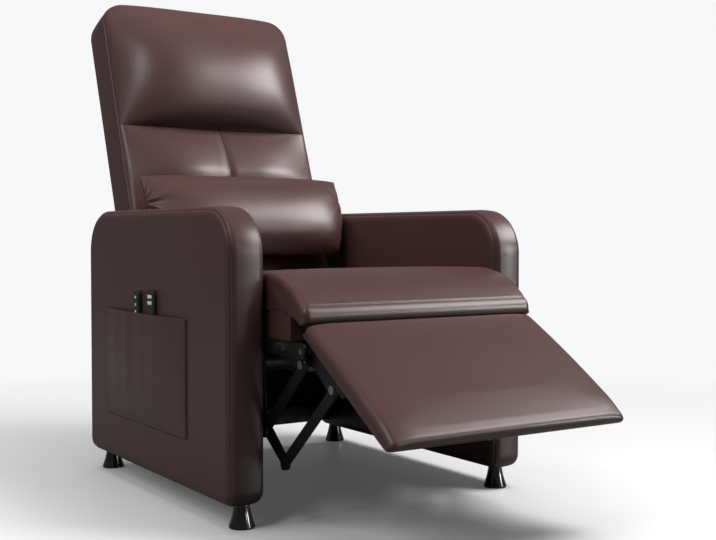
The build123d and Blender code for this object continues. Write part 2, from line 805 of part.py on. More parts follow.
def seat_section(share):
    """Side profile of the cushion at a share of its half width; it draws in towards the sides."""
    inset = seat_draw * abs(share) ** draw_power
    crown = seat_crown * (1 - share ** 2)
    top = seat_top - inset
    front = nose_front + inset
    heel = (nose_heel, nose_bottom)
    seam = (front + nose_seam_back, nose_seam_z - inset)
    rear = seat_rear - inset
    crest = (arm_front + seat_crest, top + crown / 2)
    shoulder = (rear - seat_shoulder[0], top - seat_shoulder[1])
    with BuildSketch(Plane.YZ.offset(share * seat_half)) as profile:
        with BuildLine():
            Line((rear, cushion_bottom), (arm_front, cushion_bottom))
            Line((arm_front, cushion_bottom), heel)
            ThreePointArc(heel, (front, (heel[1] + seam[1]) / 2 + nose_bulge), seam)
            ThreePointArc(seam, (arm_front - nose_roll[0], top - nose_roll[1]), crest)
            ThreePointArc(crest, ((crest[0] + rear) / 2, top + crown), shoulder)
            ThreePointArc(shoulder, (rear - seat_rear_round[0], top - seat_rear_round[1]),
                          (rear, cushion_bottom))
        make_face()
    return profile.sketch


with BuildPart() as seat_cushion:
    loft([seat_section(share) for share in cushion_stations])
seat_cushion.part.label = "seat_cushion"
export_step(seat_cushion.part, "parts/seat_cushion.step")


# Footrest: a padded panel over a board that is let into its underside
def footrest_section(share):
    """Side profile of the panel at a share of its half width; it draws in towards the sides."""
    inset = footrest_draw * abs(share) ** draw_power
    crown = footrest_crown * (1 - share ** 2) + footrest_least_crown
    low = footrest_lift
    top = footrest_top - inset
    toe = footrest_toe - inset
    tail = -footrest_tail + inset / 2
    corner = footrest_edge * (1 - math.sqrt(0.5))
    with BuildSketch(footrest_plane(share * pad_half)) as profile:
        with BuildLine():
            Line((tail, low), (toe - footrest_toe_round, low))
            ThreePointArc((toe - footrest_toe_round, low), (toe, (low + top) / 2 - footrest_toe_droop),
                          (toe - footrest_toe_round, top))
            ThreePointArc((toe - footrest_toe_round, top), ((toe + tail) / 2, top + crown),
                          (tail + footrest_edge, top))
            ThreePointArc((tail + footrest_edge, top),
                          (tail + corner, top - corner), (tail, top - footrest_edge))
            Line((tail, top - footrest_edge), (tail, low))
        make_face()
    return profile.sketch


board_front = footrest_toe - footrest_board_short
board_half = footrest_half - footrest_board_margin


def footrest_board_outline():
    """Outline of the board on the panel's underside, in the footrest's own side plane."""
    with BuildSketch(footrest_plane(board_half)) as outline:
        with Locations((board_front / 2, footrest_lift + footrest_board / 2)):
            Rectangle(board_front, footrest_board)
    return outline.sketch


with BuildPart() as footrest_pad:
    loft([footrest_section(share) for share in cushion_stations])
    extrude(footrest_board_outline(), amount=2 * board_half, mode=Mode.SUBTRACT)
footrest_pad.part.label = "footrest_pad"
export_step(footrest_pad.part, "parts/footrest_pad.step")

with BuildPart() as footrest_board_panel:
    extrude(footrest_board_outline(), amount=2 * board_half)
footrest_board_panel.part.label = "footrest_board"
export_step(footrest_board_panel.part, "parts/footrest_board.step")

# Cross bar between the rails, with hanging clevises for the two actuators
crossbar_low = crossbar_top - crossbar_size
actuators = {
    "footrest": {"x": -actuator_x, "z": footrest_rod_z, "heading": -1, "pin_y": footrest_pin[0],
                 "rise": slot_rise(footrest_drive_throw, footrest_lever_half)},
    "back": {"x": actuator_x, "z": recline_rod_z, "heading": 1, "pin_y": recline_pin[0],
             "rise": slot_rise(recline_drive_throw, recline_lever_half)},
}
clevis_inner = ear_thickness / 2 + shoulder_clear
clevis_outer = clevis_inner + clevis_steel

with BuildPart() as motor_crossbar:
    with BuildSketch(Plane.YZ.offset(-rail_inner)):
        with Locations((crossbar_y, crossbar_top - crossbar_size / 2)):
            RectangleRounded(crossbar_size, crossbar_size, crossbar_corner)
            bore = crossbar_size - 2 * crossbar_wall
            RectangleRounded(bore, bore, crossbar_corner - crossbar_wall, mode=Mode.SUBTRACT)
    extrude(amount=2 * rail_inner)
    for actuator in actuators.values():
        for start in (actuator["x"] - clevis_outer, actuator["x"] + clevis_inner):
            with BuildSketch(Plane.YZ.offset(start)):
                with Locations((crossbar_y, actuator["z"])):
                    Circle(ear_radius)
                with Locations((crossbar_y, (actuator["z"] + crossbar_low) / 2)):
                    Rectangle(2 * ear_radius, crossbar_low - actuator["z"])
                with Locations((crossbar_y, actuator["z"])):
                    Circle(pivot_radius + hole_clear, mode=Mode.SUBTRACT)
            extrude(amount=clevis_steel)
motor_crossbar.part.label = "motor_crossbar"
export_step(motor_crossbar.part, "parts/motor_crossbar.step")

with BuildPart() as motor_pins:
    for actuator in actuators.values():
        place = (crossbar_y, actuator["z"])
        extrude(side_disc(actuator["x"] - clevis_outer, place, pivot_radius), amount=2 * clevis_outer)
        for start in (actuator["x"] - clevis_outer - steel / 2, actuator["x"] + clevis_outer):
            extrude(side_disc(start, place, bolt_head_radius), amount=steel / 2)
motor_pins.part.label = "motor_pins"
export_step(motor_pins.part, "parts/motor_pins.step")

# Actuators: gearbox with a guide tube, motor across it, and a rod with a slotted end
tube_start = gearbox_start + gearbox_length
tube_end = tube_start + actuator_tube_length
motor_reach = (gearbox_start + tube_start) / 2


def across(actuator, reach):
    """Cross plane of an actuator at a reach from its mounting pin, facing along the rod."""
    heading = actuator["heading"]
    place = (actuator["x"], crossbar_y + heading * reach, actuator["z"])
    return Plane(origin=place, x_dir=(1, 0, 0), z_dir=(0, heading, 0))


for name, actuator in actuators.items():
    x = actuator["x"]
    z = actuator["z"]
    heading = actuator["heading"]
    outward = math.copysign(1, x)

    with BuildPart() as actuator_body:
        with BuildSketch(across(actuator, gearbox_start)):
            RectangleRounded(gearbox_width, gearbox_height, gearbox_corner)
        extrude(amount=gearbox_length)
        fillet(actuator_body.faces().filter_by(Axis.Y).edges(), gearbox_round)
        with BuildSketch(across(actuator, tube_start)):
            Circle(actuator_tube_radius)
        extrude(amount=actuator_tube_length)
        with BuildSketch(across(actuator, tube_end - collar_length)):
            Circle(actuator_tube_radius + collar_proud)
        extrude(amount=collar_length)
        with BuildSketch(Plane.YZ.offset(x - ear_thickness / 2)) as ear:
            with Locations((crossbar_y, z)):
                Circle(ear_radius)
            ear_reach = gearbox_start + weld_overlap
            with Locations((crossbar_y + heading * ear_reach / 2, z)):
                Rectangle(ear_reach, 2 * ear_radius)
            with Locations((crossbar_y, z)):
                Circle(pivot_radius + hole_clear, mode=Mode.SUBTRACT)
        extrude(amount=ear_thickness)
        with BuildSketch(across(actuator, tube_end)):
            Circle(rod_radius + pivot_clear)
        extrude(amount=-(actuator_tube_length - actuator_tube_floor), mode=Mode.SUBTRACT)
    actuator_body.part.label = f"{name}_actuator"
    export_step(actuator_body.part, f"parts/{name}_actuator.step")

    with BuildPart() as motor:
        motor_place = (crossbar_y + heading * motor_reach, z)
        can_start = x + outward * gearbox_width / 2
        extrude(side_disc(can_start, motor_place, motor_radius), amount=outward * motor_length)
        can_end = can_start + outward * motor_length
        fillet(motor.edges().filter_by_position(Axis.X, can_end, can_end), motor_round)
        extrude(side_disc(can_end, motor_place, motor_cap_radius), amount=outward * motor_cap_length)
    motor.part.label = f"{name}_motor"
    export_step(motor.part, f"parts/{name}_motor.step")

    with BuildPart() as rod:
        pin_reach = heading * (actuator["pin_y"] - crossbar_y)
        plate_start = pin_reach - rod_end_tail
        plate_middle = actuator["pin_y"] + heading * (rod_end_front - rod_end_tail) / 2
        with BuildSketch(across(actuator, tube_end - rod_in_tube)):
            Circle(rod_radius)
        extrude(amount=plate_start + weld_overlap - (tube_end - rod_in_tube))
        slot_half = pivot_radius + yoke_slack
        with BuildSketch(Plane.YZ.offset(x - rod_end_thickness / 2)):
            with Locations((plate_middle, z)):
                RectangleRounded(rod_end_front + rod_end_tail, 2 * rod_end_half_height, rod_end_corner)
            with Locations((actuator["pin_y"], z)):
                SlotOverall(actuator["rise"] + 2 * slot_half + slot_spare, 2 * slot_half, rotation=90,
                            mode=Mode.SUBTRACT)
        extrude(amount=rod_end_thickness)
    rod.part.label = f"{name}_rod"
    export_step(rod.part, f"parts/{name}_rod.step")

# Levers: forked brackets whose pins run in the slotted rod ends
fork_inner = rod_end_thickness / 2 + link_gap
fork_outer = fork_inner + clevis_steel


def footrest_local(point):
    """Side-view point in the footrest plane's own axes."""
    dy = point[0] - hinge_y
    dz = point[1] - hinge_z
    return (-dy * slope_cos - dz * slope_sin, -dy * slope_sin + dz * slope_cos)


def back_local(point):
    """Side-view point in the back side plane's own axes."""
    dy = point[0] - recline_y
    dz = point[1] - recline_z
    return (dy * lean_sin + dz * lean_cos, -dy * lean_cos + dz * lean_sin)


with BuildPart() as footrest_lever:
    pin = footrest_local(footrest_pin)
    for start in (-actuator_x + fork_outer, -actuator_x - fork_inner):
        with BuildSketch(footrest_plane(start)):
            with Locations(pin):
                Circle(ear_radius)
            with Locations((pin[0] + lever_foot_shift, footrest_lift - steel)):
                Rectangle(lever_foot_length, 2 * steel)
            make_hull()
        extrude(amount=clevis_steel)
    with BuildSketch(footrest_plane(-actuator_x + lever_foot_width / 2)):
        with Locations((pin[0] + lever_foot_shift, footrest_lift - steel / 2)):
            Rectangle(lever_foot_length, steel)
    extrude(amount=lever_foot_width)
    extrude(side_disc(-actuator_x - fork_outer - steel / 2, footrest_pin, pivot_radius),
            amount=2 * fork_outer + steel)
footrest_lever.part.label = "footrest_lever"
export_step(footrest_lever.part, "parts/footrest_lever.step")

with BuildPart() as back_lever:
    pin = back_local(recline_pin)
    for start in (actuator_x - fork_outer, actuator_x + fork_inner):
        with BuildSketch(back_side(start)):
            with Locations(pin):
                Circle(ear_radius)
            with Locations((frame_foot - steel, 0)):
                Rectangle(2 * steel, frame_thickness)
            make_hull()
        extrude(amount=clevis_steel)
    with BuildSketch(back_side(actuator_x - lever_foot_width / 2)):
        with Locations((frame_foot - steel / 2, 0)):
            Rectangle(steel, frame_thickness)
    extrude(amount=lever_foot_width)
    extrude(side_disc(actuator_x - fork_outer - steel / 2, recline_pin, pivot_radius),
            amount=2 * fork_outer + steel)
back_lever.part.label = "back_lever"
export_step(back_lever.part, "parts/back_lever.step")


# Back: a plywood ladder frame inside a padded shell
def ladder_outline(plane):
    """Front view of the ladder frame: two stiles and three rails."""
    with BuildSketch(plane) as ladder:
        with Locations((0, (frame_foot + frame_top) / 2)):
            with GridLocations(2 * stile_outer - stile_width, 1, 2, 1):
                Rectangle(stile_width, frame_top - frame_foot)
        for middle in (frame_foot + frame_rail / 2, frame_mid, frame_top - frame_rail / 2):
            with Locations((0, middle)):
                Rectangle(2 * stile_outer - stile_width, frame_rail)
    return ladder.sketch


with BuildPart() as back_frame:
    extrude(ladder_outline(back_face(-frame_thickness / 2)), amount=frame_thickness)
    for side in sides.values():
        extrude(side_disc(side * stile_outer, recline_pivot, shoulder_radius),
                amount=-side * (bolt_head + pin_pocket_spare), mode=Mode.SUBTRACT)
back_frame.part.label = "back_frame"
export_step(back_frame.part, "parts/back_frame.step")

with BuildPart() as back_shell:
    with BuildSketch(back_face(shell_rear)) as outline:
        with Locations((0, (back_foot + back_top) / 2)):
            Rectangle(2 * back_half, back_top - back_foot)
        fillet(outline.vertices().group_by(Axis.Y)[-1], shell_corner)
        fillet(outline.vertices().group_by(Axis.Y)[0], shell_round)
    extrude(amount=shell_front - shell_rear)
    broad_faces = back_shell.faces().sort_by(SortBy.AREA)[-2:]
    fillet(broad_faces.edges(), shell_edge)
    extrude(ladder_outline(back_face(-frame_thickness / 2)), amount=frame_thickness, mode=Mode.SUBTRACT)
back_shell.part.label = "back_shell"
export_step(back_shell.part, "parts/back_shell.step")

for side_name, side in sides.items():
    with BuildPart() as back_bracket:
        with BuildSketch(back_side(side * stile_outer)):
            Circle(frame_thickness / 2)
            strap = back_foot - back_bracket_gap
            with Locations((strap / 2, 0)):
                Rectangle(strap, frame_thickness)
            Circle(pivot_radius + pivot_clear, mode=Mode.SUBTRACT)
        extrude(amount=side * steel)
    back_bracket.part.label = f"back_bracket_{side_name}"
    export_step(back_bracket.part, f"parts/back_bracket_{side_name}.step")

cushion_half = back_half - cushion_inset
mid_foot = back_foot + mid_foot_gap
mid_top = crease - crease_gap
head_foot = crease + crease_gap
head_top = back_top - shell_round


def mid_section(share):
    """Cross section of the mid back at a share of its half height: two crowns and a sewn channel."""
    fullness = 1 - abs(share) ** mid_power
    half = cushion_half - cushion_draw * (1 - fullness)
    edge = shell_front + cushion_seam + mid_side * fullness
    crown = shell_front + mid_end_crown + (mid_crown - mid_end_crown) * fullness
    channel = crown - mid_end_channel - (mid_channel - mid_end_channel) * fullness
    along = (mid_foot + mid_top) / 2 + share * (mid_top - mid_foot) / 2
    with BuildSketch(back_station(along)) as profile:
        with BuildLine():
            Line((-half, shell_front), (half, shell_front))
            Line((half, shell_front), (half, edge))
            ThreePointArc((half, edge), (half / 2, crown), (0, channel))
            ThreePointArc((0, channel), (-half / 2, crown), (-half, edge))
            Line((-half, edge), (-half, shell_front))
        make_face()
    return profile.sketch


with BuildPart() as mid_back_cushion:
    loft([mid_section(share) for share in cushion_stations])
mid_back_cushion.part.label = "mid_back_cushion"
export_step(mid_back_cushion.part, "parts/mid_back_cushion.step")


def bolster_section(share):
    """Cross section of the head bolster at a share of its height: fullest low down, thin at the top."""
    foot_draw = (1 - share) ** bolster_foot_power
    fullness = (1 - foot_draw) * (1 - share ** bolster_top_power)
    half = cushion_half - cushion_draw * foot_draw - bolster_taper * share ** bolster_taper_power
    edge = shell_front + cushion_seam + head_side * fullness
    crown = shell_front + head_end_crown + (head_crown - head_end_crown) * fullness
    along = head_foot + share * (head_top - head_foot)
    with BuildSketch(back_station(along)) as profile:
        with BuildLine():
            Line((-half, shell_front), (half, shell_front))
            Line((half, shell_front), (half, edge))
            ThreePointArc((half, edge), (0, crown), (-half, edge))
            Line((-half, edge), (-half, shell_front))
        make_face()
    return profile.sketch


with BuildPart() as head_bolster:
    loft([bolster_section(share) for share in bolster_stations])
head_bolster.part.label = "head_bolster"
export_step(head_bolster.part, "parts/head_bolster.step")

# Lumbar pillow: knife-edged, fullest in the middle, lying against the back
lumbar_half = arm_inner - lumbar_gap
lumbar_forward = shell_front + mid_crown + lumbar_rear + lumbar_clear


def pillow_section(share):
    """Lens section of the pillow at a share of its half width, between its top and bottom seams."""
    fullness = 1 - lumbar_pinch * abs(share) ** mid_power
    half = lumbar_height / 2 - lumbar_draw * abs(share) ** mid_power
    top = (lumbar_middle + half, lumbar_forward)
    bottom = (lumbar_middle - half, lumbar_forward)
    with BuildSketch(back_side(share * lumbar_half)) as profile:
        with BuildLine():
            ThreePointArc(bottom, (lumbar_middle, lumbar_forward + lumbar_front * fullness), top)
            ThreePointArc(top, (lumbar_middle, lumbar_forward - lumbar_rear * fullness), bottom)
        make_face()
    return profile.sketch


with BuildPart() as lumbar_pillow:
    loft([pillow_section(share) for share in cushion_stations])
lumbar_pillow.part.label = "lumbar_pillow"
export_step(lumbar_pillow.part, "parts/lumbar_pillow.step")

# Rear stretcher between the arms, with the control box and its inlet on top
stretcher_rear = arm_back - stretcher_from_arm_back
stretcher_middle = stretcher_rear - stretcher_thickness / 2
stretcher_top = stretcher_bottom + stretcher_height

with BuildPart() as rear_stretcher:
    with BuildSketch(Plane.YZ.offset(-arm_inner)):
        with Locations((stretcher_middle, stretcher_bottom + stretcher_height / 2)):
            RectangleRounded(stretcher_thickness, stretcher_height, stretcher_corner)
    extrude(amount=2 * arm_inner)
rear_stretcher.part.label = "rear_stretcher"
export_step(rear_stretcher.part, "parts/rear_stretcher.step")

# Rear panel: black hardboard on the stretcher, cut out round the inlet
box_length, box_depth, box_height = control_box_size
inlet_z = stretcher_top + box_height / 2

with BuildPart() as rear_panel:
    with BuildSketch(Plane.XZ.offset(-stretcher_rear)):
        low = stretcher_bottom + rear_panel_inset
        with Locations((0, (low + rear_panel_top) / 2)):
            Rectangle(2 * arm_inner, rear_panel_top - low)
        with Locations((control_box_x, inlet_z)):
            Circle(inlet_cutout_radius, mode=Mode.SUBTRACT)
    extrude(amount=-rear_panel_thickness)
rear_panel.part.label = "rear_panel"
export_step(rear_panel.part, "parts/rear_panel.step")

with BuildPart() as control_box:
    with BuildSketch(Plane.XY.offset(stretcher_top)):
        with Locations((control_box_x, stretcher_rear - box_depth / 2)):
            RectangleRounded(box_length, box_depth, control_box_corner)
    extrude(amount=box_height)
    fillet(control_box.faces().sort_by(Axis.Z)[-1].edges(), control_box_round)
    with BuildSketch(Plane.XZ.offset(-stretcher_rear)):
        with Locations((control_box_x, inlet_z)):
            Circle(inlet_collar_radius)
    extrude(amount=inlet_depth + inlet_floor, mode=Mode.SUBTRACT)
control_box.part.label = "control_box"
export_step(control_box.part, "parts/control_box.step")

with BuildPart() as power_inlet:
    with BuildSketch(Plane.XZ.offset(-stretcher_rear - inlet_collar_proud)):
        with Locations((control_box_x, inlet_z)):
            Circle(inlet_collar_radius)
    extrude(amount=inlet_depth + inlet_floor + inlet_collar_proud)
    with BuildSketch(Plane.XZ.offset(-stretcher_rear - inlet_collar_proud)):
        with Locations((control_box_x, inlet_z)):
            Circle(inlet_radius)
    extrude(amount=inlet_depth, mode=Mode.SUBTRACT)
power_inlet.part.label = "power_inlet"
export_step(power_inlet.part, "parts/power_inlet.step")
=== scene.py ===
import json
import math

import bmesh
import bpy
import numpy as np
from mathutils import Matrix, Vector
from mathutils.bvhtree import BVHTree


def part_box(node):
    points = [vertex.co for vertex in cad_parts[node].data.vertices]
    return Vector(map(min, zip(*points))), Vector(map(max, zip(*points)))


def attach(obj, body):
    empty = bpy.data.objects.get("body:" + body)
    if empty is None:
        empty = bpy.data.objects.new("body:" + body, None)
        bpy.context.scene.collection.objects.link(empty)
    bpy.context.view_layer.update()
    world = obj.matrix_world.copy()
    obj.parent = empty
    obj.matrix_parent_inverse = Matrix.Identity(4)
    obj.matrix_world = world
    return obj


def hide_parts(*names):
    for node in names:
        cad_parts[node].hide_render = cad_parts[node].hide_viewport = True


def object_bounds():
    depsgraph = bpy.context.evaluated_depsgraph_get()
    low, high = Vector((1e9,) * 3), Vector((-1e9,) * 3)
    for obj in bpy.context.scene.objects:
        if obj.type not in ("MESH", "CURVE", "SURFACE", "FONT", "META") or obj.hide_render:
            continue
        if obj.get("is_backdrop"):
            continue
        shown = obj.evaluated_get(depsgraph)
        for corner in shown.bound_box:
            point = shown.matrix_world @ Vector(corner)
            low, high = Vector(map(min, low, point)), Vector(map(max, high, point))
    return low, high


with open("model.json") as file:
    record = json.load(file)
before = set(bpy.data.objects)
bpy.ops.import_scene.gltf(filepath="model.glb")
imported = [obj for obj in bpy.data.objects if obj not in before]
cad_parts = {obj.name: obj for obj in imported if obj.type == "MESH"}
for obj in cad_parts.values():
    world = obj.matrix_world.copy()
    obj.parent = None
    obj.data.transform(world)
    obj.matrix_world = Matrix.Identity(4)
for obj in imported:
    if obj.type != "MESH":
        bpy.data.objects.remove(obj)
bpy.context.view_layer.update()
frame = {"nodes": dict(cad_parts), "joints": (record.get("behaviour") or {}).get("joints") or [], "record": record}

# Looks of a power recliner: leather covers, stitching, finishes, studio and camera.
# Lengths are metres in the part's own frame: +Z up, the chair faces -Y, right is the sitter's right (-X).

MM = 0.001
joints = {joint["name"]: joint for joint in frame["joints"]}
hinge = np.array(joints["footrest_tilt"]["pos_m"])
recline = np.array(joints["back_recline"]["pos_m"])
lean = math.radians(20)
slope = math.radians(32.5)
across_axis = np.array([1.0, 0.0, 0.0])
back_up = np.array([0, math.sin(lean), math.cos(lean)])
back_forward = np.array([0, -math.cos(lean), math.sin(lean)])
rest_along = np.array([0, -math.cos(slope), -math.sin(slope)])
rest_rise = np.array([0, -math.sin(slope), math.cos(slope)])


# Shader expressions


class Value:
    """A node's output that adds Math nodes when it is used in an expression."""

    def __init__(self, shader, socket):
        self.shader = shader
        self.socket = socket

    def _math(self, operation, first, second):
        return self.shader.node("ShaderNodeMath", {"operation": operation}, {0: first, 1: second})

    def __add__(self, other):
        return self._math("ADD", self, other)

    def __radd__(self, other):
        return self._math("ADD", other, self)

    def __mul__(self, other):
        return self._math("MULTIPLY", self, other)

    def __rmul__(self, other):
        return self._math("MULTIPLY", other, self)


class Shader:
    """A material with one Principled surface; node() adds any node and gives back its output."""

    def __init__(self, name):
        self.material = bpy.data.materials.new(name)
        self.material.use_nodes = True
        self.tree = self.material.node_tree
        self.tree.nodes.clear()
        self.surface = self.tree.nodes.new("ShaderNodeBsdfPrincipled")
        output = self.tree.nodes.new("ShaderNodeOutputMaterial")
        self.tree.links.new(self.surface.outputs[0], output.inputs[0])
        self.place = self.node("ShaderNodeTexCoord", {}, {}, "Object")

    def node(self, kind, settings, inputs, output=0):
        """Add a node: settings are set first, then each input takes a number, a colour or a Value."""
        made = self.tree.nodes.new(kind)
        for key, setting in settings.items():
            setattr(made, key, setting)
        for key, given in inputs.items():
            self._feed(made.inputs[key], given)
        return Value(self, made.outputs[output])

    def _feed(self, socket, given):
        if isinstance(given, Value):
            self.tree.links.new(given.socket, socket)
        elif isinstance(given, tuple) and socket.type == "RGBA" and len(given) == 3:
            socket.default_value = (*given, 1)
        else:
            socket.default_value = given

    def noise(self, scale, detail=2.0, roughness=0.5):
        """Noise over the piece, in features per metre."""
        return self.node("ShaderNodeTexNoise", {},
                         {"Vector": self.place, "Scale": scale, "Detail": detail, "Roughness": roughness})

    def mix(self, share, first, second):
        """Colour between two colours."""
        return self.node("ShaderNodeMix", {"data_type": "RGBA"}, {0: share, 6: first, 7: second}, 2)

    def bump(self, height, strength, distance, below=None):
        """Normal from a height in units of distance, on top of another normal."""
        inputs = {"Height": height, "Strength": strength, "Distance": distance}
        if below is not None:
            inputs["Normal"] = below
        return self.node("ShaderNodeBump", {}, inputs)

    def set(self, **inputs):
        """Feed the Principled surface: names with underscores for spaces."""
        for key, given in inputs.items():
            self._feed(self.surface.inputs[key.replace("_", " ")], given)
        return self.material


def leather_finish(name, deep, light):
    """Smooth upholstery leather: pebbled grain, faint cloudiness, a broad soft sheen."""
    s = Shader(name)
    cloud = s.noise(5.0, 3.0)
    fine = s.noise(60.0, 4.0)
    pebble = s.node("ShaderNodeTexVoronoi", {"feature": "F1"},
                    {"Vector": s.place, "Scale": 480.0, "Randomness": 1.0}, "Distance")
    crease = s.node("ShaderNodeTexVoronoi", {"feature": "DISTANCE_TO_EDGE"},
                    {"Vector": s.place, "Scale": 150.0, "Randomness": 1.0}, "Distance")
    pores = s.noise(1400.0, 1.0)
    shade = cloud * 0.7 + fine * 0.3
    colour = s.mix(shade, deep, light)
    waves = s.bump(s.noise(9.0, 1.0), 0.25, 2.0 * MM)
    ripple = s.bump(fine, 0.10, 0.6 * MM, waves)
    lines = s.node("ShaderNodeMapRange", {}, {0: crease, 1: 0.0, 2: 0.12, 3: 0.0, 4: 1.0})
    height = pebble * -0.55 + lines * 0.3 + pores * 0.15
    skin = s.bump(height, 0.16, 0.5 * MM, ripple)
    return s.set(Base_Color=colour, Roughness=0.34 + fine * 0.08 + lines * -0.02, Normal=skin,
                 Specular_IOR_Level=0.42, Coat_Weight=0.06, Coat_Roughness=0.25)


def thread_finish(name, colour):
    """Twisted sewing thread: slanted strands and a little fuzz."""
    s = Shader(name)
    strands = s.node("ShaderNodeTexWave", {"bands_direction": "DIAGONAL"},
                     {"Vector": s.place, "Scale": 900.0, "Distortion": 1.0})
    tone = s.mix(s.noise(300.0), colour, tuple(0.6 * part for part in colour))
    return s.set(Base_Color=tone, Roughness=0.62, Normal=s.bump(strands, 0.4, 0.2 * MM))


def steel_finish(name, colour, metallic, roughness, scratch=0.1, gloss=0.5):
    """Pressed steel, painted or plated: orange peel, rubbed patches and fine scratches."""
    s = Shader(name)
    peel = s.noise(700.0, 2.0)
    patch = s.noise(14.0, 4.0)
    rolled = s.node("ShaderNodeMapping", {}, {"Vector": s.place, "Scale": (1.0, 40.0, 1.0)})
    lines = s.node("ShaderNodeTexNoise", {}, {"Vector": rolled, "Scale": 60.0, "Detail": 3.0})
    tone = s.mix(patch, colour, tuple(min(1.0, 1.35 * part + 0.004) for part in colour))
    return s.set(Base_Color=tone, Metallic=metallic, Roughness=roughness + patch * 0.10 + lines * scratch,
                 Normal=s.bump(peel, 0.10, 0.2 * MM), Specular_IOR_Level=gloss)


def plastic_finish(name, colour, roughness, coat=0.0, texture=0.12):
    """Moulded plastic with a fine spark-eroded texture and slight handling marks."""
    s = Shader(name)
    spark = s.noise(1600.0, 2.0)
    marks = s.noise(25.0, 4.0)
    tone = s.mix(marks, colour, tuple(min(1.0, 1.25 * part + 0.003) for part in colour))
    skin = s.bump(spark, texture, 0.15 * MM)
    return s.set(Base_Color=tone, Roughness=roughness + marks * 0.08, Normal=skin, Coat_Weight=coat,
                 Coat_Roughness=0.06)


def plywood_finish(name):
    """Plywood: layered veneers, each with drawn-out grain."""
    s = Shader(name)
    stretched = s.node("ShaderNodeMapping", {}, {"Vector": s.place, "Scale": (1.0, 0.12, 1.0)})
    grain = s.node("ShaderNodeTexNoise", {}, {"Vector": stretched, "Scale": 90.0, "Detail": 6.0})
    layers = s.node("ShaderNodeTexWave", {"bands_direction": "X"},
                    {"Vector": s.place, "Scale": 105.0, "Distortion": 0.3})
    tone = s.mix(grain * 0.6 + layers * 0.4, (0.33, 0.20, 0.10), (0.62, 0.46, 0.29))
    return s.set(Base_Color=tone, Roughness=0.55 + grain * 0.25, Normal=s.bump(grain, 0.2, 0.4 * MM))


def hardboard_finish(name):
    """Black hardboard: pressed fibres, matt."""
    s = Shader(name)
    fibre = s.noise(420.0, 5.0, 0.7)
    tone = s.mix(fibre, (0.006, 0.006, 0.006), (0.022, 0.021, 0.020))
    return s.set(Base_Color=tone, Roughness=0.68 + fibre * 0.2, Normal=s.bump(fibre, 0.25, 0.3 * MM))


def webbing_finish(name):
    """Black elastic webbing: crossed warp and weft."""
    s = Shader(name)
    warp = s.node("ShaderNodeTexWave", {"bands_direction": "X"}, {"Vector": s.place, "Scale": 320.0})
    weft = s.node("ShaderNodeTexWave", {"bands_direction": "Y"}, {"Vector": s.place, "Scale": 320.0})
    weave = warp * weft
    tone = s.mix(weave, (0.010, 0.010, 0.010), (0.045, 0.044, 0.042))
    return s.set(Base_Color=tone, Roughness=0.8, Normal=s.bump(weave, 0.5, 0.4 * MM))


leather = leather_finish("leather", (0.058, 0.0265, 0.0255), (0.074, 0.0355, 0.0345))
thread = thread_finish("thread", (0.11, 0.058, 0.054))
black_steel = steel_finish("black_steel", (0.004, 0.004, 0.0042), 0.0, 0.28, 0.1, 0.3)
bright_steel = steel_finish("bright_steel", (0.58, 0.58, 0.57), 1.0, 0.22, 0.16)
dark_zinc = steel_finish("dark_zinc", (0.26, 0.26, 0.265), 1.0, 0.18, 0.12)
motor_metal = steel_finish("motor_metal", (0.035, 0.036, 0.040), 0.6, 0.32)
black_plastic = plastic_finish("black_plastic", (0.011, 0.012, 0.012), 0.38)
foot_plastic = plastic_finish("foot_plastic", (0.006, 0.006, 0.006), 0.16, 0.5, 0.02)
key_plastic = plastic_finish("key_plastic", (0.62, 0.62, 0.60), 0.45)
plywood = plywood_finish("plywood")
hardboard = hardboard_finish("hardboard")
webbing = webbing_finish("webbing")
slot_finishes = {
    "leather": leather, "padding": leather, "plywood": plywood, "hardboard": hardboard, "webbing": webbing,
    "black_steel": black_steel, "bright_steel": bright_steel, "motor_metal": motor_metal,
    "black_plastic": black_plastic, "foot_plastic": foot_plastic, "key_plastic": key_plastic,
}
for part in frame["record"]["subparts"]:
    node = frame["nodes"][part["node"]]
    node.data.materials.clear()
    node.data.materials.append(slot_finishes[part["material_slot"]])
for name in ("frame_bolts", "pivot_pins", "link_rivets_right", "link_rivets_left"):
    frame["nodes"][name].data.materials[0] = dark_zinc


# Meshes


def build(name, points, faces, material):
    """Mesh object from point and face arrays, doubles merged and faces turned outwards."""
    mesh = bpy.data.meshes.new(name)
    mesh.from_pydata(points.reshape(-1, 3).tolist(), [], faces.tolist())
    work = bmesh.new()
    work.from_mesh(mesh)
    bmesh.ops.remove_doubles(work, verts=work.verts, dist=0.02 * MM)
    bmesh.ops.recalc_face_normals(work, faces=work.faces)
    for face in work.faces:
        face.smooth = True
    work.to_mesh(mesh)
    work.free()
    mesh.materials.append(material)
    piece = bpy.data.objects.new(name, mesh)
    bpy.context.scene.collection.objects.link(piece)
    return piece


def grid_faces(rows, columns, wrap_rows=False, wrap_columns=False):
    """Quads between neighbouring points of a grid stored row by row."""
    row = np.arange(rows if wrap_rows else rows - 1)
    column = np.arange(columns if wrap_columns else columns - 1)
    row, column = np.meshgrid(row, column, indexing="ij")
    next_row = (row + 1) % rows
    next_column = (column + 1) % columns
    corners = [row * columns + column, next_row * columns + column,
               next_row * columns + next_column, row * columns + next_column]
    return np.stack(corners, -1).reshape(-1, 4)


def tube(name, rings, material):
    """Closed solid through rings of points: rings[k, i] wraps in i, each end closed by a ladder of quads."""
    count = rings.shape[1]
    step = np.arange(count // 2 - 1)
    rungs = np.stack([step, step + 1, count - 2 - step, count - 1 - step], -1)
    last = count * (len(rings) - 1)
    faces = np.concatenate([grid_faces(len(rings), count, wrap_columns=True), rungs, rungs + last])
    return build(name, rings, faces, material)


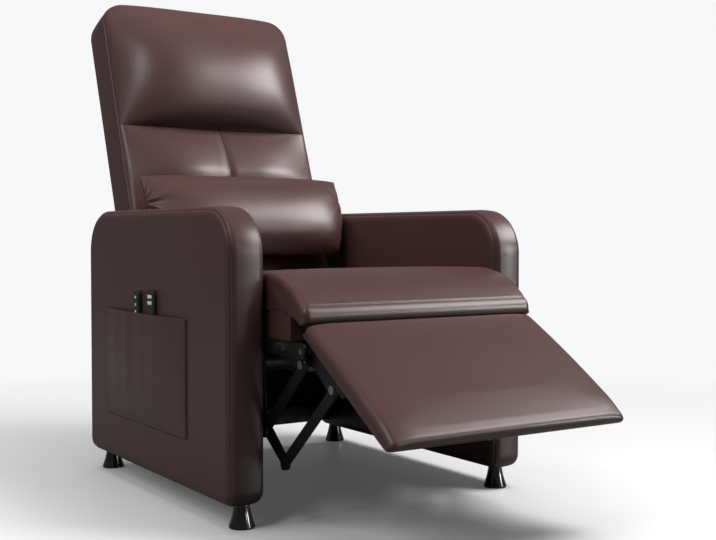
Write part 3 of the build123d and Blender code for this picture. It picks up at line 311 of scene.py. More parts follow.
def two_sheets(name, front, rear, material):
    """Closed solid from two grids of one shape, joined by a wall round their edges."""
    rows, columns = front.shape[:2]
    count = rows * columns
    index = np.arange(count).reshape(rows, columns)
    edge = np.concatenate([index[0, :-1], index[:-1, -1], index[-1, :0:-1], index[:0:-1, 0]])
    after = np.roll(edge, -1)
    wall = np.stack([edge, after, after + count, edge + count], -1)
    sheet = grid_faces(rows, columns)
    faces = np.concatenate([sheet, sheet + count, wall])
    return build(name, np.concatenate([front.reshape(-1, 3), rear.reshape(-1, 3)]), faces, material)


def coordinates(piece):
    """Vertex places of a piece as an array."""
    places = np.empty(len(piece.data.vertices) * 3)
    piece.data.vertices.foreach_get("co", places)
    return places.reshape(-1, 3)


def normals(piece):
    """Vertex normals of a piece as an array."""
    turned = np.empty(len(piece.data.vertices) * 3)
    piece.data.vertices.foreach_get("normal", turned)
    return turned.reshape(-1, 3)


def place(piece, places):
    """Write vertex places back."""
    piece.data.vertices.foreach_set("co", places.astype(np.float32).ravel())
    piece.data.update()


def apply_modifiers(piece):
    """Turn the piece's modifiers into its mesh."""
    graph = bpy.context.evaluated_depsgraph_get()
    finished = bpy.data.meshes.new_from_object(piece.evaluated_get(graph))
    piece.modifiers.clear()
    old = piece.data
    piece.data = finished
    bpy.data.meshes.remove(old)
    piece.data.polygons.foreach_set("use_smooth", np.ones(len(piece.data.polygons), bool))


def swell(piece, cap, held, pressure=4.0):
    """Blow a closed pad up as cloth for twenty frames, no point moving further than cap.

    held(places) is true where the cover is sewn down or rests on something, false where it is free.
    """
    start = coordinates(piece)
    group = piece.vertex_groups.new(name="sewn")
    group.add(np.flatnonzero(held(start)).tolist(), 1.0, "REPLACE")
    cloth = piece.modifiers.new("Cloth", "CLOTH")
    cloth.settings.quality = 4
    cloth.settings.mass = 0.25
    cloth.settings.tension_stiffness = 12
    cloth.settings.compression_stiffness = 12
    cloth.settings.bending_stiffness = 2.0
    cloth.settings.use_pressure = True
    cloth.settings.uniform_pressure_force = pressure
    cloth.settings.effector_weights.gravity = 0
    cloth.settings.vertex_group_mass = "sewn"
    cloth.point_cache.frame_end = 20
    for step in range(1, 21):
        bpy.context.scene.frame_set(step)
    graph = bpy.context.evaluated_depsgraph_get()
    swollen = np.empty(start.size)
    piece.evaluated_get(graph).data.vertices.foreach_get("co", swollen)
    move = swollen.reshape(-1, 3) - start
    reach = np.linalg.norm(move, axis=1, keepdims=True)
    piece.modifiers.clear()
    piece.vertex_groups.clear()
    place(piece, start + move * np.minimum(1, cap / np.maximum(reach, 1e-9)))
    bpy.context.scene.frame_set(1)
    finer = piece.modifiers.new("Finer", "SUBSURF")
    finer.levels = 1
    finer.render_levels = 1
    apply_modifiers(piece)


def press(piece, depth):
    """Move each point in along its normal by depth(places), the groove of a seam or fold."""
    places = coordinates(piece)
    place(piece, places - normals(piece) * depth(places)[:, None])


def bell(distance, width):
    """Smooth bump: 1 at no distance, fading over the width."""
    return np.exp(-(distance / width) ** 2)


def resample(path, pitch):
    """Points every pitch along a polyline."""
    steps = np.linalg.norm(np.diff(path, axis=0), axis=1)
    length = np.concatenate([[0], np.cumsum(steps)])
    stations = np.arange(pitch / 2, length[-1], pitch)
    return np.stack([np.interp(stations, length, path[:, axis]) for axis in range(3)], -1)


def drop_on(piece, path, direction):
    """Path points moved along a direction on to a piece's surface, with the normals there."""
    graph = bpy.context.evaluated_depsgraph_get()
    tree = BVHTree.FromObject(piece, graph)
    aim = Vector(direction)
    hits = [tree.ray_cast(Vector(point) - aim * 0.2, aim) for point in path]
    found = [(hit[0], hit[1]) for hit in hits if hit[0] is not None]
    return np.array([spot for spot, _ in found]), np.array([turn for _, turn in found])


stitch_length = 5.2 * MM
stitch_pitch = 7.0 * MM
thread_radius = 0.55 * MM


def stitches(spots, outs):
    """Points and faces of a row of stitches: short six-sided threads that dip in at both ends.

    Each thread is the profile radius * sqrt(1 - t^4) carried along t in [-1, 1], its middle
    sinking by t^2 towards the ends; spots are the path, outs the surface normals on it.
    """
    along = np.gradient(spots, axis=0)
    along /= np.linalg.norm(along, axis=1, keepdims=True)
    side = np.cross(along, outs)
    side /= np.linalg.norm(side, axis=1, keepdims=True)
    out = np.cross(side, along)
    t = np.linspace(-1, 1, 6)
    turn = np.linspace(0, 2 * np.pi, 6, endpoint=False)
    radius = thread_radius * np.sqrt(np.maximum(0.02, 1 - t ** 4))
    length = t * stitch_length / 2
    local_side = radius[:, None] * np.cos(turn)
    local_out = radius[:, None] * np.sin(turn) + (0.45 - 0.9 * t ** 2)[:, None] * thread_radius
    local = np.stack([np.broadcast_to(length[:, None], local_side.shape), local_side, local_out], -1)
    axes = np.stack([along, side, out], 1)
    points = np.einsum("tri,nij->ntrj", local, axes) + spots[:, None, None, :]
    ring = grid_faces(6, 6, wrap_columns=True)
    faces = (ring[None] + 36 * np.arange(len(spots))[:, None, None]).reshape(-1, 4)
    return points.reshape(-1, 3), faces


def stitch_piece(name, rows, body):
    """One mesh of many stitch rows, each a pair of spots and outs, riding on a body."""
    points, faces = [], []
    count = 0
    for spots, outs in rows:
        made, quads = stitches(spots, outs)
        points.append(made)
        faces.append(quads + count)
        count += len(made)
    piece = build(name, np.concatenate(points), np.concatenate(faces), thread)
    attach(piece, body)
    return piece


def outline_loop(low, high, low_radius, high_radius, step):
    """Rounded rectangle: points and outward normals, even along lines and arcs.

    low and high are its corners; the two low corners and the two high corners have their own radius.
    """
    corners = [
        ((high[0] - low_radius, low[1] + low_radius), low_radius, -90),
        ((high[0] - high_radius, high[1] - high_radius), high_radius, 0),
        ((low[0] + high_radius, high[1] - high_radius), high_radius, 90),
        ((low[0] + low_radius, low[1] + low_radius), low_radius, 180),
    ]
    points, outs = [], []
    for number, (middle, radius, start) in enumerate(corners):
        count = max(6, int(radius * math.pi / 2 / step))
        angle = np.radians(start + np.linspace(0, 90, count))
        out = np.stack([np.cos(angle), np.sin(angle)], -1)
        arc = np.array(middle) + radius * out
        next_middle, next_radius, next_start = corners[(number + 1) % 4]
        next_angle = math.radians(next_start)
        goal = np.array(next_middle) + next_radius * np.array([math.cos(next_angle), math.sin(next_angle)])
        gap = np.linalg.norm(goal - arc[-1])
        share = np.linspace(0, 1, max(2, int(gap / step)) + 1)[1:-1, None]
        line = arc[-1] + (goal - arc[-1]) * share
        points += [arc, line]
        outs += [out, np.broadcast_to(out[-1], line.shape)]
    return np.concatenate(points), np.concatenate(outs)


def slab(name, loop, half, edge, seams, crown, pillow, to_place, material):
    """Upholstered slab: an outline loop carried round a half profile of its thickness.

    The profile runs from the middle of one broad face, round an edge of radius edge, across the band
    and back: inset from the outline against height. The band bows out by crown, the broad faces by
    pillow, and each seam, a height on the band, is a groove between two small rolls.
    """
    points, outs = loop
    middle = points.mean(0)
    turn = np.linspace(0, np.pi / 2, 14)
    face_inset = np.concatenate([np.linspace(edge + 4 * MM, edge, 5)[:-1], edge * (1 - np.sin(turn))])
    face_height = np.concatenate([np.full(4, half), half - edge * (1 - np.cos(turn))])
    band = np.linspace(half - edge, edge - half, 61)[1:-1]
    inset = np.concatenate([face_inset, -crown * (1 - (band / (half - edge)) ** 2), face_inset[::-1]])
    height = np.concatenate([face_height, band, -face_height[::-1]])
    fine = np.linspace(0, 1, 200)
    steps = np.concatenate([[0], np.cumsum(np.hypot(np.diff(inset), np.diff(height)))])
    inset = np.interp(fine, steps / steps[-1], inset)
    height = np.interp(fine, steps / steps[-1], height)
    out_inset = np.gradient(height)
    out_height = -np.gradient(inset)
    size = np.hypot(out_inset, out_height)
    groove = np.zeros_like(height)
    for seam in seams:
        gap = np.abs(height - seam)
        groove += 1.1 * MM * bell(gap, 1.1 * MM) - 0.4 * MM * bell(gap - 4.0 * MM, 3.0 * MM)
    inset = inset - groove * out_inset / size
    height = height - groove * out_height / size
    ring_flat = points[None] - inset[:, None, None] * outs[None]
    ring_high = np.broadcast_to(height[:, None], ring_flat.shape[:2])
    share = np.linspace(1, 0, 26)[1:, None, None]
    swellings = pillow * (1 - share[:, 0, 0] ** 2)
    caps = []
    for end, sign in ((ring_flat[0], 1), (ring_flat[-1], -1)):
        flat = middle + (end - middle) * share
        high = np.broadcast_to((sign * (half + swellings))[:, None], flat.shape[:2])
        caps.append((flat, high))
    flat = np.concatenate([caps[0][0][::-1], ring_flat, caps[1][0]])
    high = np.concatenate([caps[0][1][::-1], ring_high, caps[1][1]])
    places = to_place(flat[..., 0], flat[..., 1], high)
    return build(name, places, grid_faces(*flat.shape[:2], wrap_columns=True), material)


def loop_row(loop, height, inset, to_place, keep):
    """Stitch row round an outline loop at one height: spots and outward normals, where keep is true."""
    points, outs = loop
    chosen = keep(points)
    start = np.flatnonzero(chosen & ~np.roll(chosen, 1))[0]
    order = np.roll(np.arange(len(points)), -start)
    order = order[chosen[order]]
    flat = points[order] - inset * outs[order]
    path = to_place(flat[:, 0], flat[:, 1], np.full(len(flat), height))
    tip = to_place(flat[:, 0] + outs[order][:, 0], flat[:, 1] + outs[order][:, 1], np.full(len(flat), height))
    spots = resample(path, stitch_pitch)
    turn = tip - path
    nearest = np.argmin(np.linalg.norm(path[None] - spots[:, None], axis=2), axis=1)
    return spots, turn[nearest]


# Arms: a padded slab each, its band sewn to the side panels

arm_half = 36.0 * MM
arm_edge = 19.0 * MM
arm_seam = 30.5 * MM
arm_stitch = 23.0 * MM
arm_band_crown = 1.0 * MM
arm_stitch_inset = arm_edge - math.sqrt(arm_edge ** 2 - (arm_stitch - arm_half + arm_edge) ** 2)
for side_name, side in (("right", -1), ("left", 1)):
    low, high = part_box(f"arm_pad_{side_name}")
    arm_middle = (low.x + high.x) / 2
    arm_loop = outline_loop((low.y, low.z), (high.y, high.z), 26 * MM, 88 * MM, 5 * MM)

    def on_arm(y, z, out, middle=arm_middle, turn=side):
        """Arm point from its side view and its height out of the arm's middle plane."""
        return np.stack([middle + turn * out, y, z], -1)

    arm = slab(f"arm_cover_{side_name}", arm_loop, arm_half, arm_edge, (arm_seam, -arm_seam),
               arm_band_crown, 0.6 * MM, on_arm, leather)
    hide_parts(f"arm_pad_{side_name}")
    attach(arm, "base")
    rows = [loop_row(arm_loop, height, arm_stitch_inset, on_arm,
                     lambda points: points[:, 1] > low.z + 22 * MM) for height in (arm_stitch, -arm_stitch)]
    stitch_piece(f"arm_stitching_{side_name}", rows, "base")


# Back: shell, mid back, head bolster


def on_back(across, along, forward):
    """Back point from its place across, up along the back and forward of the recline hinge."""
    return (recline + across[..., None] * across_axis + along[..., None] * back_up
            + forward[..., None] * back_forward)


def back_coordinates(places):
    """Across, along and forward of points on the back."""
    offset = places - recline
    return offset @ across_axis, offset @ back_up, offset @ back_forward


back_half = (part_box("back_shell")[1].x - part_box("back_shell")[0].x) / 2
back_foot = 30 * MM
back_top = 768 * MM
shell_front = 52 * MM
shell_rear = -48 * MM
shell_half = (shell_front - shell_rear) / 2
shell_middle = (shell_front + shell_rear) / 2
shell_seam = shell_half - 5 * MM
shell_edge = 14 * MM
shell_loop = outline_loop((-back_half, back_foot), (back_half, back_top), 15 * MM, 62 * MM, 5 * MM)


def on_shell(across, along, high):
    """Shell point from its front view and its height forward of the shell's middle plane."""
    return on_back(across, along, shell_middle + high)


back_cover = slab("back_cover", shell_loop, shell_half, shell_edge, (shell_seam, -shell_seam), 1.0 * MM,
                  1.5 * MM, on_shell, leather)
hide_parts("back_shell")
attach(back_cover, "back")
shell_stitch_inset = shell_edge - math.sqrt(shell_edge ** 2 - (shell_edge - 12 * MM) ** 2)
back_rows = [loop_row(shell_loop, shell_seam - 7 * MM, shell_stitch_inset, on_shell,
                      lambda points: points[:, 1] > back_foot + 15 * MM)]

panel_half = back_half - 3.5 * MM
panel_top = back_top - 4 * MM
panel_corner = 58 * MM
crease = 448 * MM
crease_droop = 4 * MM
panel_lip = 0.8 * MM


def panel_width(along):
    """Half width of the front panels: straight sides, rounded towards the top corners."""
    rise = np.clip(along - (panel_top - panel_corner), 0, panel_corner)
    return panel_half - panel_corner + np.sqrt(panel_corner ** 2 - rise ** 2)


def side_rise(share, power, lift):
    """How full a panel is at a share of its half width: (1 - |share|^power)^lift."""
    return np.maximum(0, 1 - np.abs(share) ** power) ** lift


def shell_surface(across, along):
    """How far forward the shell's front is, rounded off towards its sides and top."""
    gap = np.minimum(back_half - np.abs(across), back_top - along)
    rise = np.clip(1 - gap / shell_edge, 0, 1)
    return shell_front - shell_edge * (1 - np.sqrt(1 - rise ** 2))


def cushion(name, along_at, forward_at, columns, rows):
    """Front panel over the shell: a height field forward_at(share, v) over the shell's front."""
    spread = np.linspace(-1, 1, columns)
    share = np.sin(spread * np.pi / 2) * 0.45 + 0.55 * (0.35 * spread + 0.65 * spread ** 3)
    v = (1 - np.cos(np.linspace(0, np.pi, rows))) / 2
    share, v = np.meshgrid(share, v, indexing="ij")
    along = along_at(share, v)
    across = share * panel_width(along)
    ground = shell_surface(across, along) + 0.3 * MM
    front = on_back(across, along, ground + panel_lip + forward_at(share, v))
    return two_sheets(name, front, on_back(across, along, ground), leather)


bolster_full = 80 * MM
bolster_low = 0.47


def bolster_along(share, v):
    """Height up the back: the lower edge droops a little in the middle."""
    foot = crease + 1 * MM - crease_droop * (1 - share ** 2)
    return foot + v * (panel_top - foot)


def bolster_forward(share, v):
    """Head bolster: a quarter ellipse rolls under below its fullest line, a cosine falls above it."""
    under = np.clip((bolster_low - v) / bolster_low, 0, 1)
    over = np.clip((v - bolster_low) / (1 - bolster_low), 0, 1)
    fullness = np.sqrt(1 - under ** 2) * (0.08 + 0.92 * np.cos(np.pi / 2 * over ** 1.2) ** 1.1)
    return bolster_full * fullness * side_rise(share, 3.7, 1.0)


bolster = cushion("head_bolster_cover", bolster_along, bolster_forward, 101, 70)

mid_full = 52 * MM
mid_roll = 0.45
mid_foot = 60 * MM
mid_channel = 20 * MM
mid_lower_roll = 0.2
press_from = 270 * MM
press_over = 70 * MM


def mid_along(share, v):
    """Height up the back: the upper edge follows the drooping crease."""
    return mid_foot + v * (crease + 13 * MM - crease_droop * (1 - share ** 2) - mid_foot)


def mid_forward(share, v):
    """Mid back: full above the pillow, pressed in behind it, drawn in along a sewn middle channel."""
    upper = np.clip(1 - (1 - v) / mid_roll, 0, 1)
    lower = np.clip(1 - v / mid_lower_roll, 0, 1)
    clear = np.clip((mid_along(share, v) - press_from) / press_over, 0, 1)
    pressed = 0.5 + 0.5 * clear ** 2 * (3 - 2 * clear)
    fullness = (1 - upper ** 2.2) ** 0.8 * (1 - lower ** 2) * pressed
    channel = mid_channel * (0.8 * bell(share, 0.36) + 0.2 * bell(share, 0.04)) * fullness
    return mid_full * fullness * side_rise(share, 2.5, 1.1) - channel


mid_back = cushion("mid_back_cover", mid_along, mid_forward, 131, 80)


def on_shell_face(places):
    """True where a panel lies on the shell."""
    across, along, forward = back_coordinates(places)
    return forward < shell_surface(across, along) + 4 * MM


swell(bolster, 8 * MM, on_shell_face, 4.0)
swell(mid_back, 6 * MM, lambda places: on_shell_face(places) | (np.abs(places[:, 0]) < 6 * MM), 2.0)
press(mid_back, lambda places: 1.6 * MM * bell(places[:, 0], 1.8 * MM) * ~on_shell_face(places))
for piece, node in ((bolster, "head_bolster"), (mid_back, "mid_back_cushion")):
    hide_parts(node)
    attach(piece, "back")

seam_points = 60
seam_along = np.linspace(290 * MM, 425 * MM, seam_points)
seam_spread = np.linspace(6 * MM, 3 * MM, seam_points)
for shift in (-1, 1):
    path = on_back(shift * seam_spread, seam_along, np.full(seam_points, 0.1))
    spots, outs = drop_on(mid_back, resample(path, stitch_pitch), -back_forward)
    back_rows.append((spots, outs))
stitch_piece("back_stitching", back_rows, "back")


# Lumbar pillow: knife edged, gathered a little at its ends

lumbar_middle = 206 * MM
lumbar_half_height = 98 * MM
lumbar_forward = 120.6 * MM
lumbar_tilt = 0.08
lumbar_shift = 9 * MM
pillow_front = 52 * MM
pillow_rear = -36 * MM
pillow_rim = 0.975
lumbar_half = (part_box("lumbar_pillow")[1].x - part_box("lumbar_pillow")[0].x) / 2


def pillow_sheet(share, v, bulge):
    """One face of the pillow: bulge * (1 - v^2)^0.62 * end fullness, drawn in at its lower corners."""
    fullness = (1 - v ** 2) ** 0.62 * (0.10 + 0.90 * (1 - np.abs(share) ** 4)) ** 0.8
    scallop = 1.1 * MM * np.cos(5 * np.pi * v) * (1 - v ** 2)
    taper = 36 * MM * np.clip(-v, 0, 1) ** 1.2
    drawn = 4 * MM * (1 - v ** 2) + taper + scallop * (share > 0)
    across = lumbar_shift + share * (lumbar_half - drawn * np.abs(share) ** 8)
    along = lumbar_middle + v * (lumbar_half_height - 6 * MM * np.abs(share) ** 6 * np.abs(v) ** 3)
    plane = lumbar_forward - lumbar_tilt * (along - lumbar_middle)
    return on_back(across, along, plane + bulge * fullness)


share, v = np.meshgrid(np.sin(np.linspace(-np.pi / 2, np.pi / 2, 110)),
                       np.sin(np.linspace(-np.pi / 2, np.pi / 2, 60)), indexing="ij")
pillow = two_sheets("lumbar_pillow_cover", pillow_sheet(share, v, pillow_front),
                    pillow_sheet(share, v, pillow_rear), leather)


def pillow_seam(places):
    """True along the seam that runs round the pillow."""
    across, along, forward = back_coordinates(places)
    end = np.abs(across - lumbar_shift) / lumbar_half
    height = np.abs(along - lumbar_middle) / lumbar_half_height
    return np.maximum(end, height) > pillow_rim


def pillow_folds(places):
    """Depth of the folds that fan out of the ends: exp(-end) * cos of the angle about the end's middle."""
    across, along, forward = back_coordinates(places)
    share = np.clip((across - lumbar_shift) / lumbar_half, -1, 1)
    v = np.clip((along - lumbar_middle) / lumbar_half_height, -1, 1)
    end = 1 - np.abs(share)
    spread = np.arctan2(v - 0.25, 3.2 * end + 0.06)
    reach = np.where(share < 0, 3.6 * np.exp(-end / 0.22), 1.6 * np.exp(-end / 0.10)) * MM
    return reach * np.cos(8.5 * spread + 0.5) * (1 - v ** 4) * (1 - np.exp(-end / 0.03))


swell(pillow, 7 * MM, pillow_seam, 3.0)
press(pillow, pillow_folds)
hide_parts("lumbar_pillow")
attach(pillow, "back")


# Seat cushion: a side profile carried across the chair


def arc(first, through, last, count, crowd=1.0):
    """Points of the circle arc from first through a point to last, without the last one.

    A crowd above 1 sets them closer together near the start, below 1 near the end.
    """
    a, b, c = (complex(*point) for point in (first, through, last))
    w = (c - a) / (b - a)
    centre = (b - a) * (w - abs(w) ** 2) / (2j * w.imag) + a
    start, end = (math.atan2((point - centre).imag, (point - centre).real) for point in (a, c))
    middle = math.atan2((b - centre).imag, (b - centre).real)
    if (middle - start) % (2 * math.pi) < (end - start) % (2 * math.pi):
        sweep = (end - start) % (2 * math.pi)
    else:
        sweep = -((start - end) % (2 * math.pi))
    angle = start + sweep * np.linspace(0, 1, count, endpoint=False) ** crowd
    radius = abs(a - centre)
    return np.stack([centre.real + radius * np.cos(angle), centre.imag + radius * np.sin(angle)], -1)


def line(first, last, count):
    """Points of a straight run, without the last one."""
    start, end = np.array(first), np.array(last)
    return start + np.linspace(0, 1, count, endpoint=False)[:, None] * (end - start)


def loop_outs(loop):
    """Outward normals of a closed loop of side-view points that runs anticlockwise."""
    ahead = np.roll(loop, -1, 0) - np.roll(loop, 1, 0)
    out = np.stack([ahead[:, 1], -ahead[:, 0]], -1)
    out /= np.linalg.norm(out, axis=1, keepdims=True)
    area = np.sum(loop[:, 0] * np.roll(loop[:, 1], -1) - np.roll(loop[:, 0], -1) * loop[:, 1])
    return out if area > 0 else -out


def carried(name, profile, half, edge, crown_at, to_place):
    """Pad: a closed side profile carried across, its sides rounded by drawing the profile in.

    At a distance x across, the profile is inset by edge * (1 - sqrt(1 - q^2)), where q grows from 0 to 1
    over the last edge of the half width, less on the underside, and its points rise by crown_at(point, x).
    """
    turn = np.linspace(0, np.pi / 2, 12)
    side = half - edge * (1 - np.sin(turn))
    x = np.concatenate([-side[::-1], np.linspace(edge - half, half - edge, 70)[1:-1], side])
    q = np.clip((np.abs(x) - (half - edge)) / edge, 0, 1)
    inset = edge * (1 - np.sqrt(1 - q ** 2))
    outs = loop_outs(profile)
    drawn = np.clip(1 + outs[:, 1], 0.2, 1)[:, None] * outs
    rings = profile[None] - inset[:, None, None] * drawn[None]
    lift = crown_at(profile[None], (x / half)[:, None])
    return tube(name, to_place(x[:, None] + 0 * lift, rings[..., 0], rings[..., 1] + lift), leather)


seat_low, seat_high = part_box("seat_cushion")
arm_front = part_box("arm_pad_right")[0].y
nose_front = seat_low.y
nose_bottom = seat_low.z - 7 * MM
seat_rear = seat_high.y
seat_top = 447 * MM
cushion_bottom = 381 * MM
seat_crown = 2 * MM
nose_seam = (nose_front + 10 * MM, 394.5 * MM)
nose_tip = (nose_front, nose_bottom + 12 * MM)
nose_heel = (nose_front + 14 * MM, nose_bottom)
seat_crest = (arm_front + 20 * MM, seat_top + 1 * MM)
seat_shoulder = (seat_rear - 16 * MM, seat_top - 26 * MM)
seat_profile = np.concatenate([
    line((seat_rear, cushion_bottom), (arm_front, cushion_bottom), 90),
    arc((arm_front, cushion_bottom), (arm_front - 62 * MM, cushion_bottom - 4 * MM), nose_heel, 24),
    arc(nose_heel, (nose_front + 4 * MM, nose_bottom + 3.6 * MM), nose_tip, 12),
    arc(nose_tip, (nose_front + 3 * MM, nose_seam[1] - 7.5 * MM), nose_seam, 18, 0.8),
    arc(nose_seam, (arm_front - 54 * MM, seat_top - 16 * MM), seat_crest, 44, 1.5),
    arc(seat_crest, ((seat_crest[0] + seat_rear) / 2, seat_top - 13 * MM), seat_shoulder, 90, 1.1),
    arc(seat_shoulder, (seat_rear - 3 * MM, seat_top - 40 * MM), (seat_rear, cushion_bottom), 12),
])
seat_half = 250 * MM
seat_edge = 13 * MM
seat_between_arms = 4 * MM


def seat_lift(point, share):
    """Crown of the seat: highest in the middle, only over the flat top."""
    top = np.clip((point[..., 1] - 430 * MM) / (15 * MM), 0, 1)
    return seat_crown * (1 - share ** 2) * top


def upright(x, y, z):
    """Chair point from its place across and its side view."""
    return np.stack([x, y, z], -1)


def on_seat(x, y, z):
    """Seat point: the cushion is a little wider between the arms than at its nose."""
    inside = np.clip((y - arm_front + 15 * MM) / (40 * MM), 0, 1)
    return upright(x * (1 + seat_between_arms / seat_half * inside ** 2 * (3 - 2 * inside)), y, z)


seat = carried("seat_cushion_cover", seat_profile, seat_half, seat_edge, seat_lift, on_seat)


def seat_held(places):
    """True under the seat, round its sides and along the nose seam."""
    under = (places[:, 2] < cushion_bottom + 3 * MM) & (places[:, 1] > nose_seam[0] - 2 * MM)
    nose = places[:, 2] < nose_bottom + 4 * MM
    seam = np.hypot(places[:, 1] - nose_seam[0], places[:, 2] - nose_seam[1]) < 4 * MM
    return under | nose | seam | (np.abs(places[:, 0]) > seat_half - 12 * MM)


swell(seat, 3 * MM, seat_held, 3.0)


def seat_grooves(places):
    """Depth of the seat's seams: across the nose, across the crest and along both sides."""
    nose = bell(np.hypot(places[:, 1] - nose_seam[0], places[:, 2] - nose_seam[1]), 1.6 * MM)
    crest = bell(places[:, 1] - seat_crest[0], 3.0 * MM) * (places[:, 2] > seat_top - 12 * MM)
    sides = bell(np.abs(places[:, 0]) - (seat_half - 11 * MM), 2.5 * MM)
    sides = sides * (places[:, 1] < arm_front + 40 * MM) * (places[:, 2] > nose_seam[1])
    return 1.8 * MM * nose + 0.7 * MM * crest + 0.8 * MM * sides


press(seat, seat_grooves)
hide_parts("seat_cushion")
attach(seat, "base")

path_points = 120
nose_stitch = (nose_seam[0] + 5 * MM, nose_seam[1] + 6.5 * MM)
crest_stitch = (seat_crest[0] - 7 * MM, seat_top)
nose_slant = (0, 0.75, -0.66)
seat_rows = []
reach = np.linspace(-seat_half + 12 * MM, seat_half - 12 * MM, path_points)
for (y, z), direction in ((nose_stitch, nose_slant), (crest_stitch, (0, 0, -1))):
    path = upright(reach, np.full(path_points, y), np.full(path_points, z))
    seat_rows.append(drop_on(seat, resample(path, stitch_pitch), direction))
stitch_piece("seat_stitching", seat_rows, "base")


# Footrest: a padded panel on its board


def on_footrest(x, along, rise):
    """Footrest point from its place across, along the panel and out of its top."""
    return (hinge * np.array([0, 1, 1]) + x[..., None] * across_axis + along[..., None] * rest_along
            + rise[..., None] * rest_rise)


rest_half = (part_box("footrest_pad")[1].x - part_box("footrest_pad")[0].x) / 2
rest_low = 13.5 * MM
rest_top = 44.5 * MM
rest_toe = 273.5 * MM
rest_tail = -27 * MM
toe_round = 13 * MM
toe_drop = 6 * MM
toe_slope = 66 * MM
tail_round = 9 * MM
tail_top = rest_top - 3 * MM
rest_edge = 14 * MM
rest_profile = np.concatenate([
    line((rest_tail, rest_low), (rest_toe - toe_round, rest_low), 60),
    arc((rest_toe - toe_round, rest_low), (rest_toe, (rest_low + rest_top - toe_drop) / 2),
        (rest_toe - toe_round, rest_top - toe_drop), 22),
    arc((rest_toe - toe_round, rest_top - toe_drop), (rest_toe - 0.55 * toe_slope, rest_top - 1.6 * MM),
        (rest_toe - toe_slope, rest_top), 30),
    arc((rest_toe - toe_slope, rest_top), ((rest_toe - toe_slope + rest_tail) / 2, rest_top + 1 * MM),
        (rest_tail + tail_round, tail_top), 40),
    arc((rest_tail + tail_round, tail_top), (rest_tail + 0.293 * tail_round, tail_top - 0.293 * tail_round),
        (rest_tail, tail_top - tail_round), 8),
    line((rest_tail, tail_top - tail_round), (rest_tail, rest_low), 10),
])
for _ in range(8):
    rest_profile = (np.roll(rest_profile, 1, 0) + 2 * rest_profile + np.roll(rest_profile, -1, 0)) / 4


def rest_lift(point, share):
    """Crown of the footrest, only on its top and clear of its tail, with a fall towards its sides."""
    fall = np.clip((np.abs(share) - 0.80) / 0.20, 0, 1)
    clear = np.clip((point[..., 0] - 10 * MM) / (60 * MM), 0, 1)
    top = np.clip((point[..., 1] - 24 * MM) / (16 * MM), 0, 1)
    return (2.0 * (1 - share ** 2) * clear - 6.0 * fall ** 1.8) * MM * top


footrest = carried("footrest_cover", rest_profile, rest_half, rest_edge, rest_lift, on_footrest)


def rest_held(places):
    """True along the underside and round the rim."""
    offset = places - hinge
    along = offset @ rest_along
    sides = np.abs(places[:, 0]) > rest_half - 22 * MM
    ends = (along < rest_tail + 36 * MM) | (along > rest_toe - 24 * MM)
    return sides | ends | (offset @ rest_rise < rest_low + 4 * MM)


swell(footrest, 2 * MM, rest_held, 2.0)
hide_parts("footrest_pad")
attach(footrest, "footrest")


# Side pocket: a leather patch sewn on at its sides and base, standing off a little at its open top

pocket_low, pocket_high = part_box("side_pocket")
pocket_wall = pocket_high.x
pocket_half = (pocket_high.y - pocket_low.y) / 2
pocket_middle = (pocket_high.y + pocket_low.y) / 2
pocket_depth = pocket_high.x - pocket_low.x
patch_thickness = 1.8 * MM
probe_reach = 0.05


def pocket_sheet(share, v, layer):
    """Outer or inner face of the patch: it rises from the sewn edges over a short roll, with soft creases."""
    y = pocket_middle + share * pocket_half
    z = pocket_low.z + v * (pocket_high.z - pocket_low.z)
    side_gap = (1 - np.abs(share)) * pocket_half
    base_gap = v * (pocket_high.z - pocket_low.z)
    side = np.sin(np.clip(side_gap / (150 * MM), 0, 1) * np.pi / 2)
    base = np.sin(np.clip(base_gap / (170 * MM), 0, 1) * np.pi / 2)
    creases = 0.7 * MM * np.cos(share * 17 + 1.5 * v) * bell(share - 0.4, 0.5)
    roll = 1 - 0.5 * (bell(side_gap, 1.2 * MM) + bell(base_gap, 1.2 * MM))
    lift = 4.2 * MM * roll + (pocket_depth - 5 * MM + creases) * side * base
    return np.stack([pocket_wall - lift + layer, y, z], -1)


share, v = np.meshgrid(np.sin(np.linspace(-np.pi / 2, np.pi / 2, 150)), np.linspace(0, 1, 110), indexing="ij")
pocket = two_sheets("side_pocket_patch", pocket_sheet(share, v, 0), pocket_sheet(share, v, patch_thickness),
                    leather)
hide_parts("side_pocket")
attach(pocket, "base")
run = np.linspace(0, 1, path_points)
level = pocket_low.y + 10 * MM + run * (2 * pocket_half - 20 * MM)
rising = pocket_low.z + 10 * MM + run * (pocket_high.z - pocket_low.z - 12 * MM)
pocket_rows = []
for y, z in (
    (level, np.full(path_points, pocket_high.z - 12 * MM)),
    (np.full(path_points, pocket_low.y + 9 * MM), rising),
    (np.full(path_points, pocket_high.y - 9 * MM), rising),
    (level, np.full(path_points, pocket_low.z + 10 * MM)),
):
    path = upright(np.full(path_points, pocket_wall - probe_reach), y, z)
    pocket_rows.append(drop_on(pocket, resample(path, stitch_pitch), (1, 0, 0)))
stitch_piece("pocket_stitching", pocket_rows, "base")


# Studio: pale floor, white surroundings, soft lamps, the photograph's camera

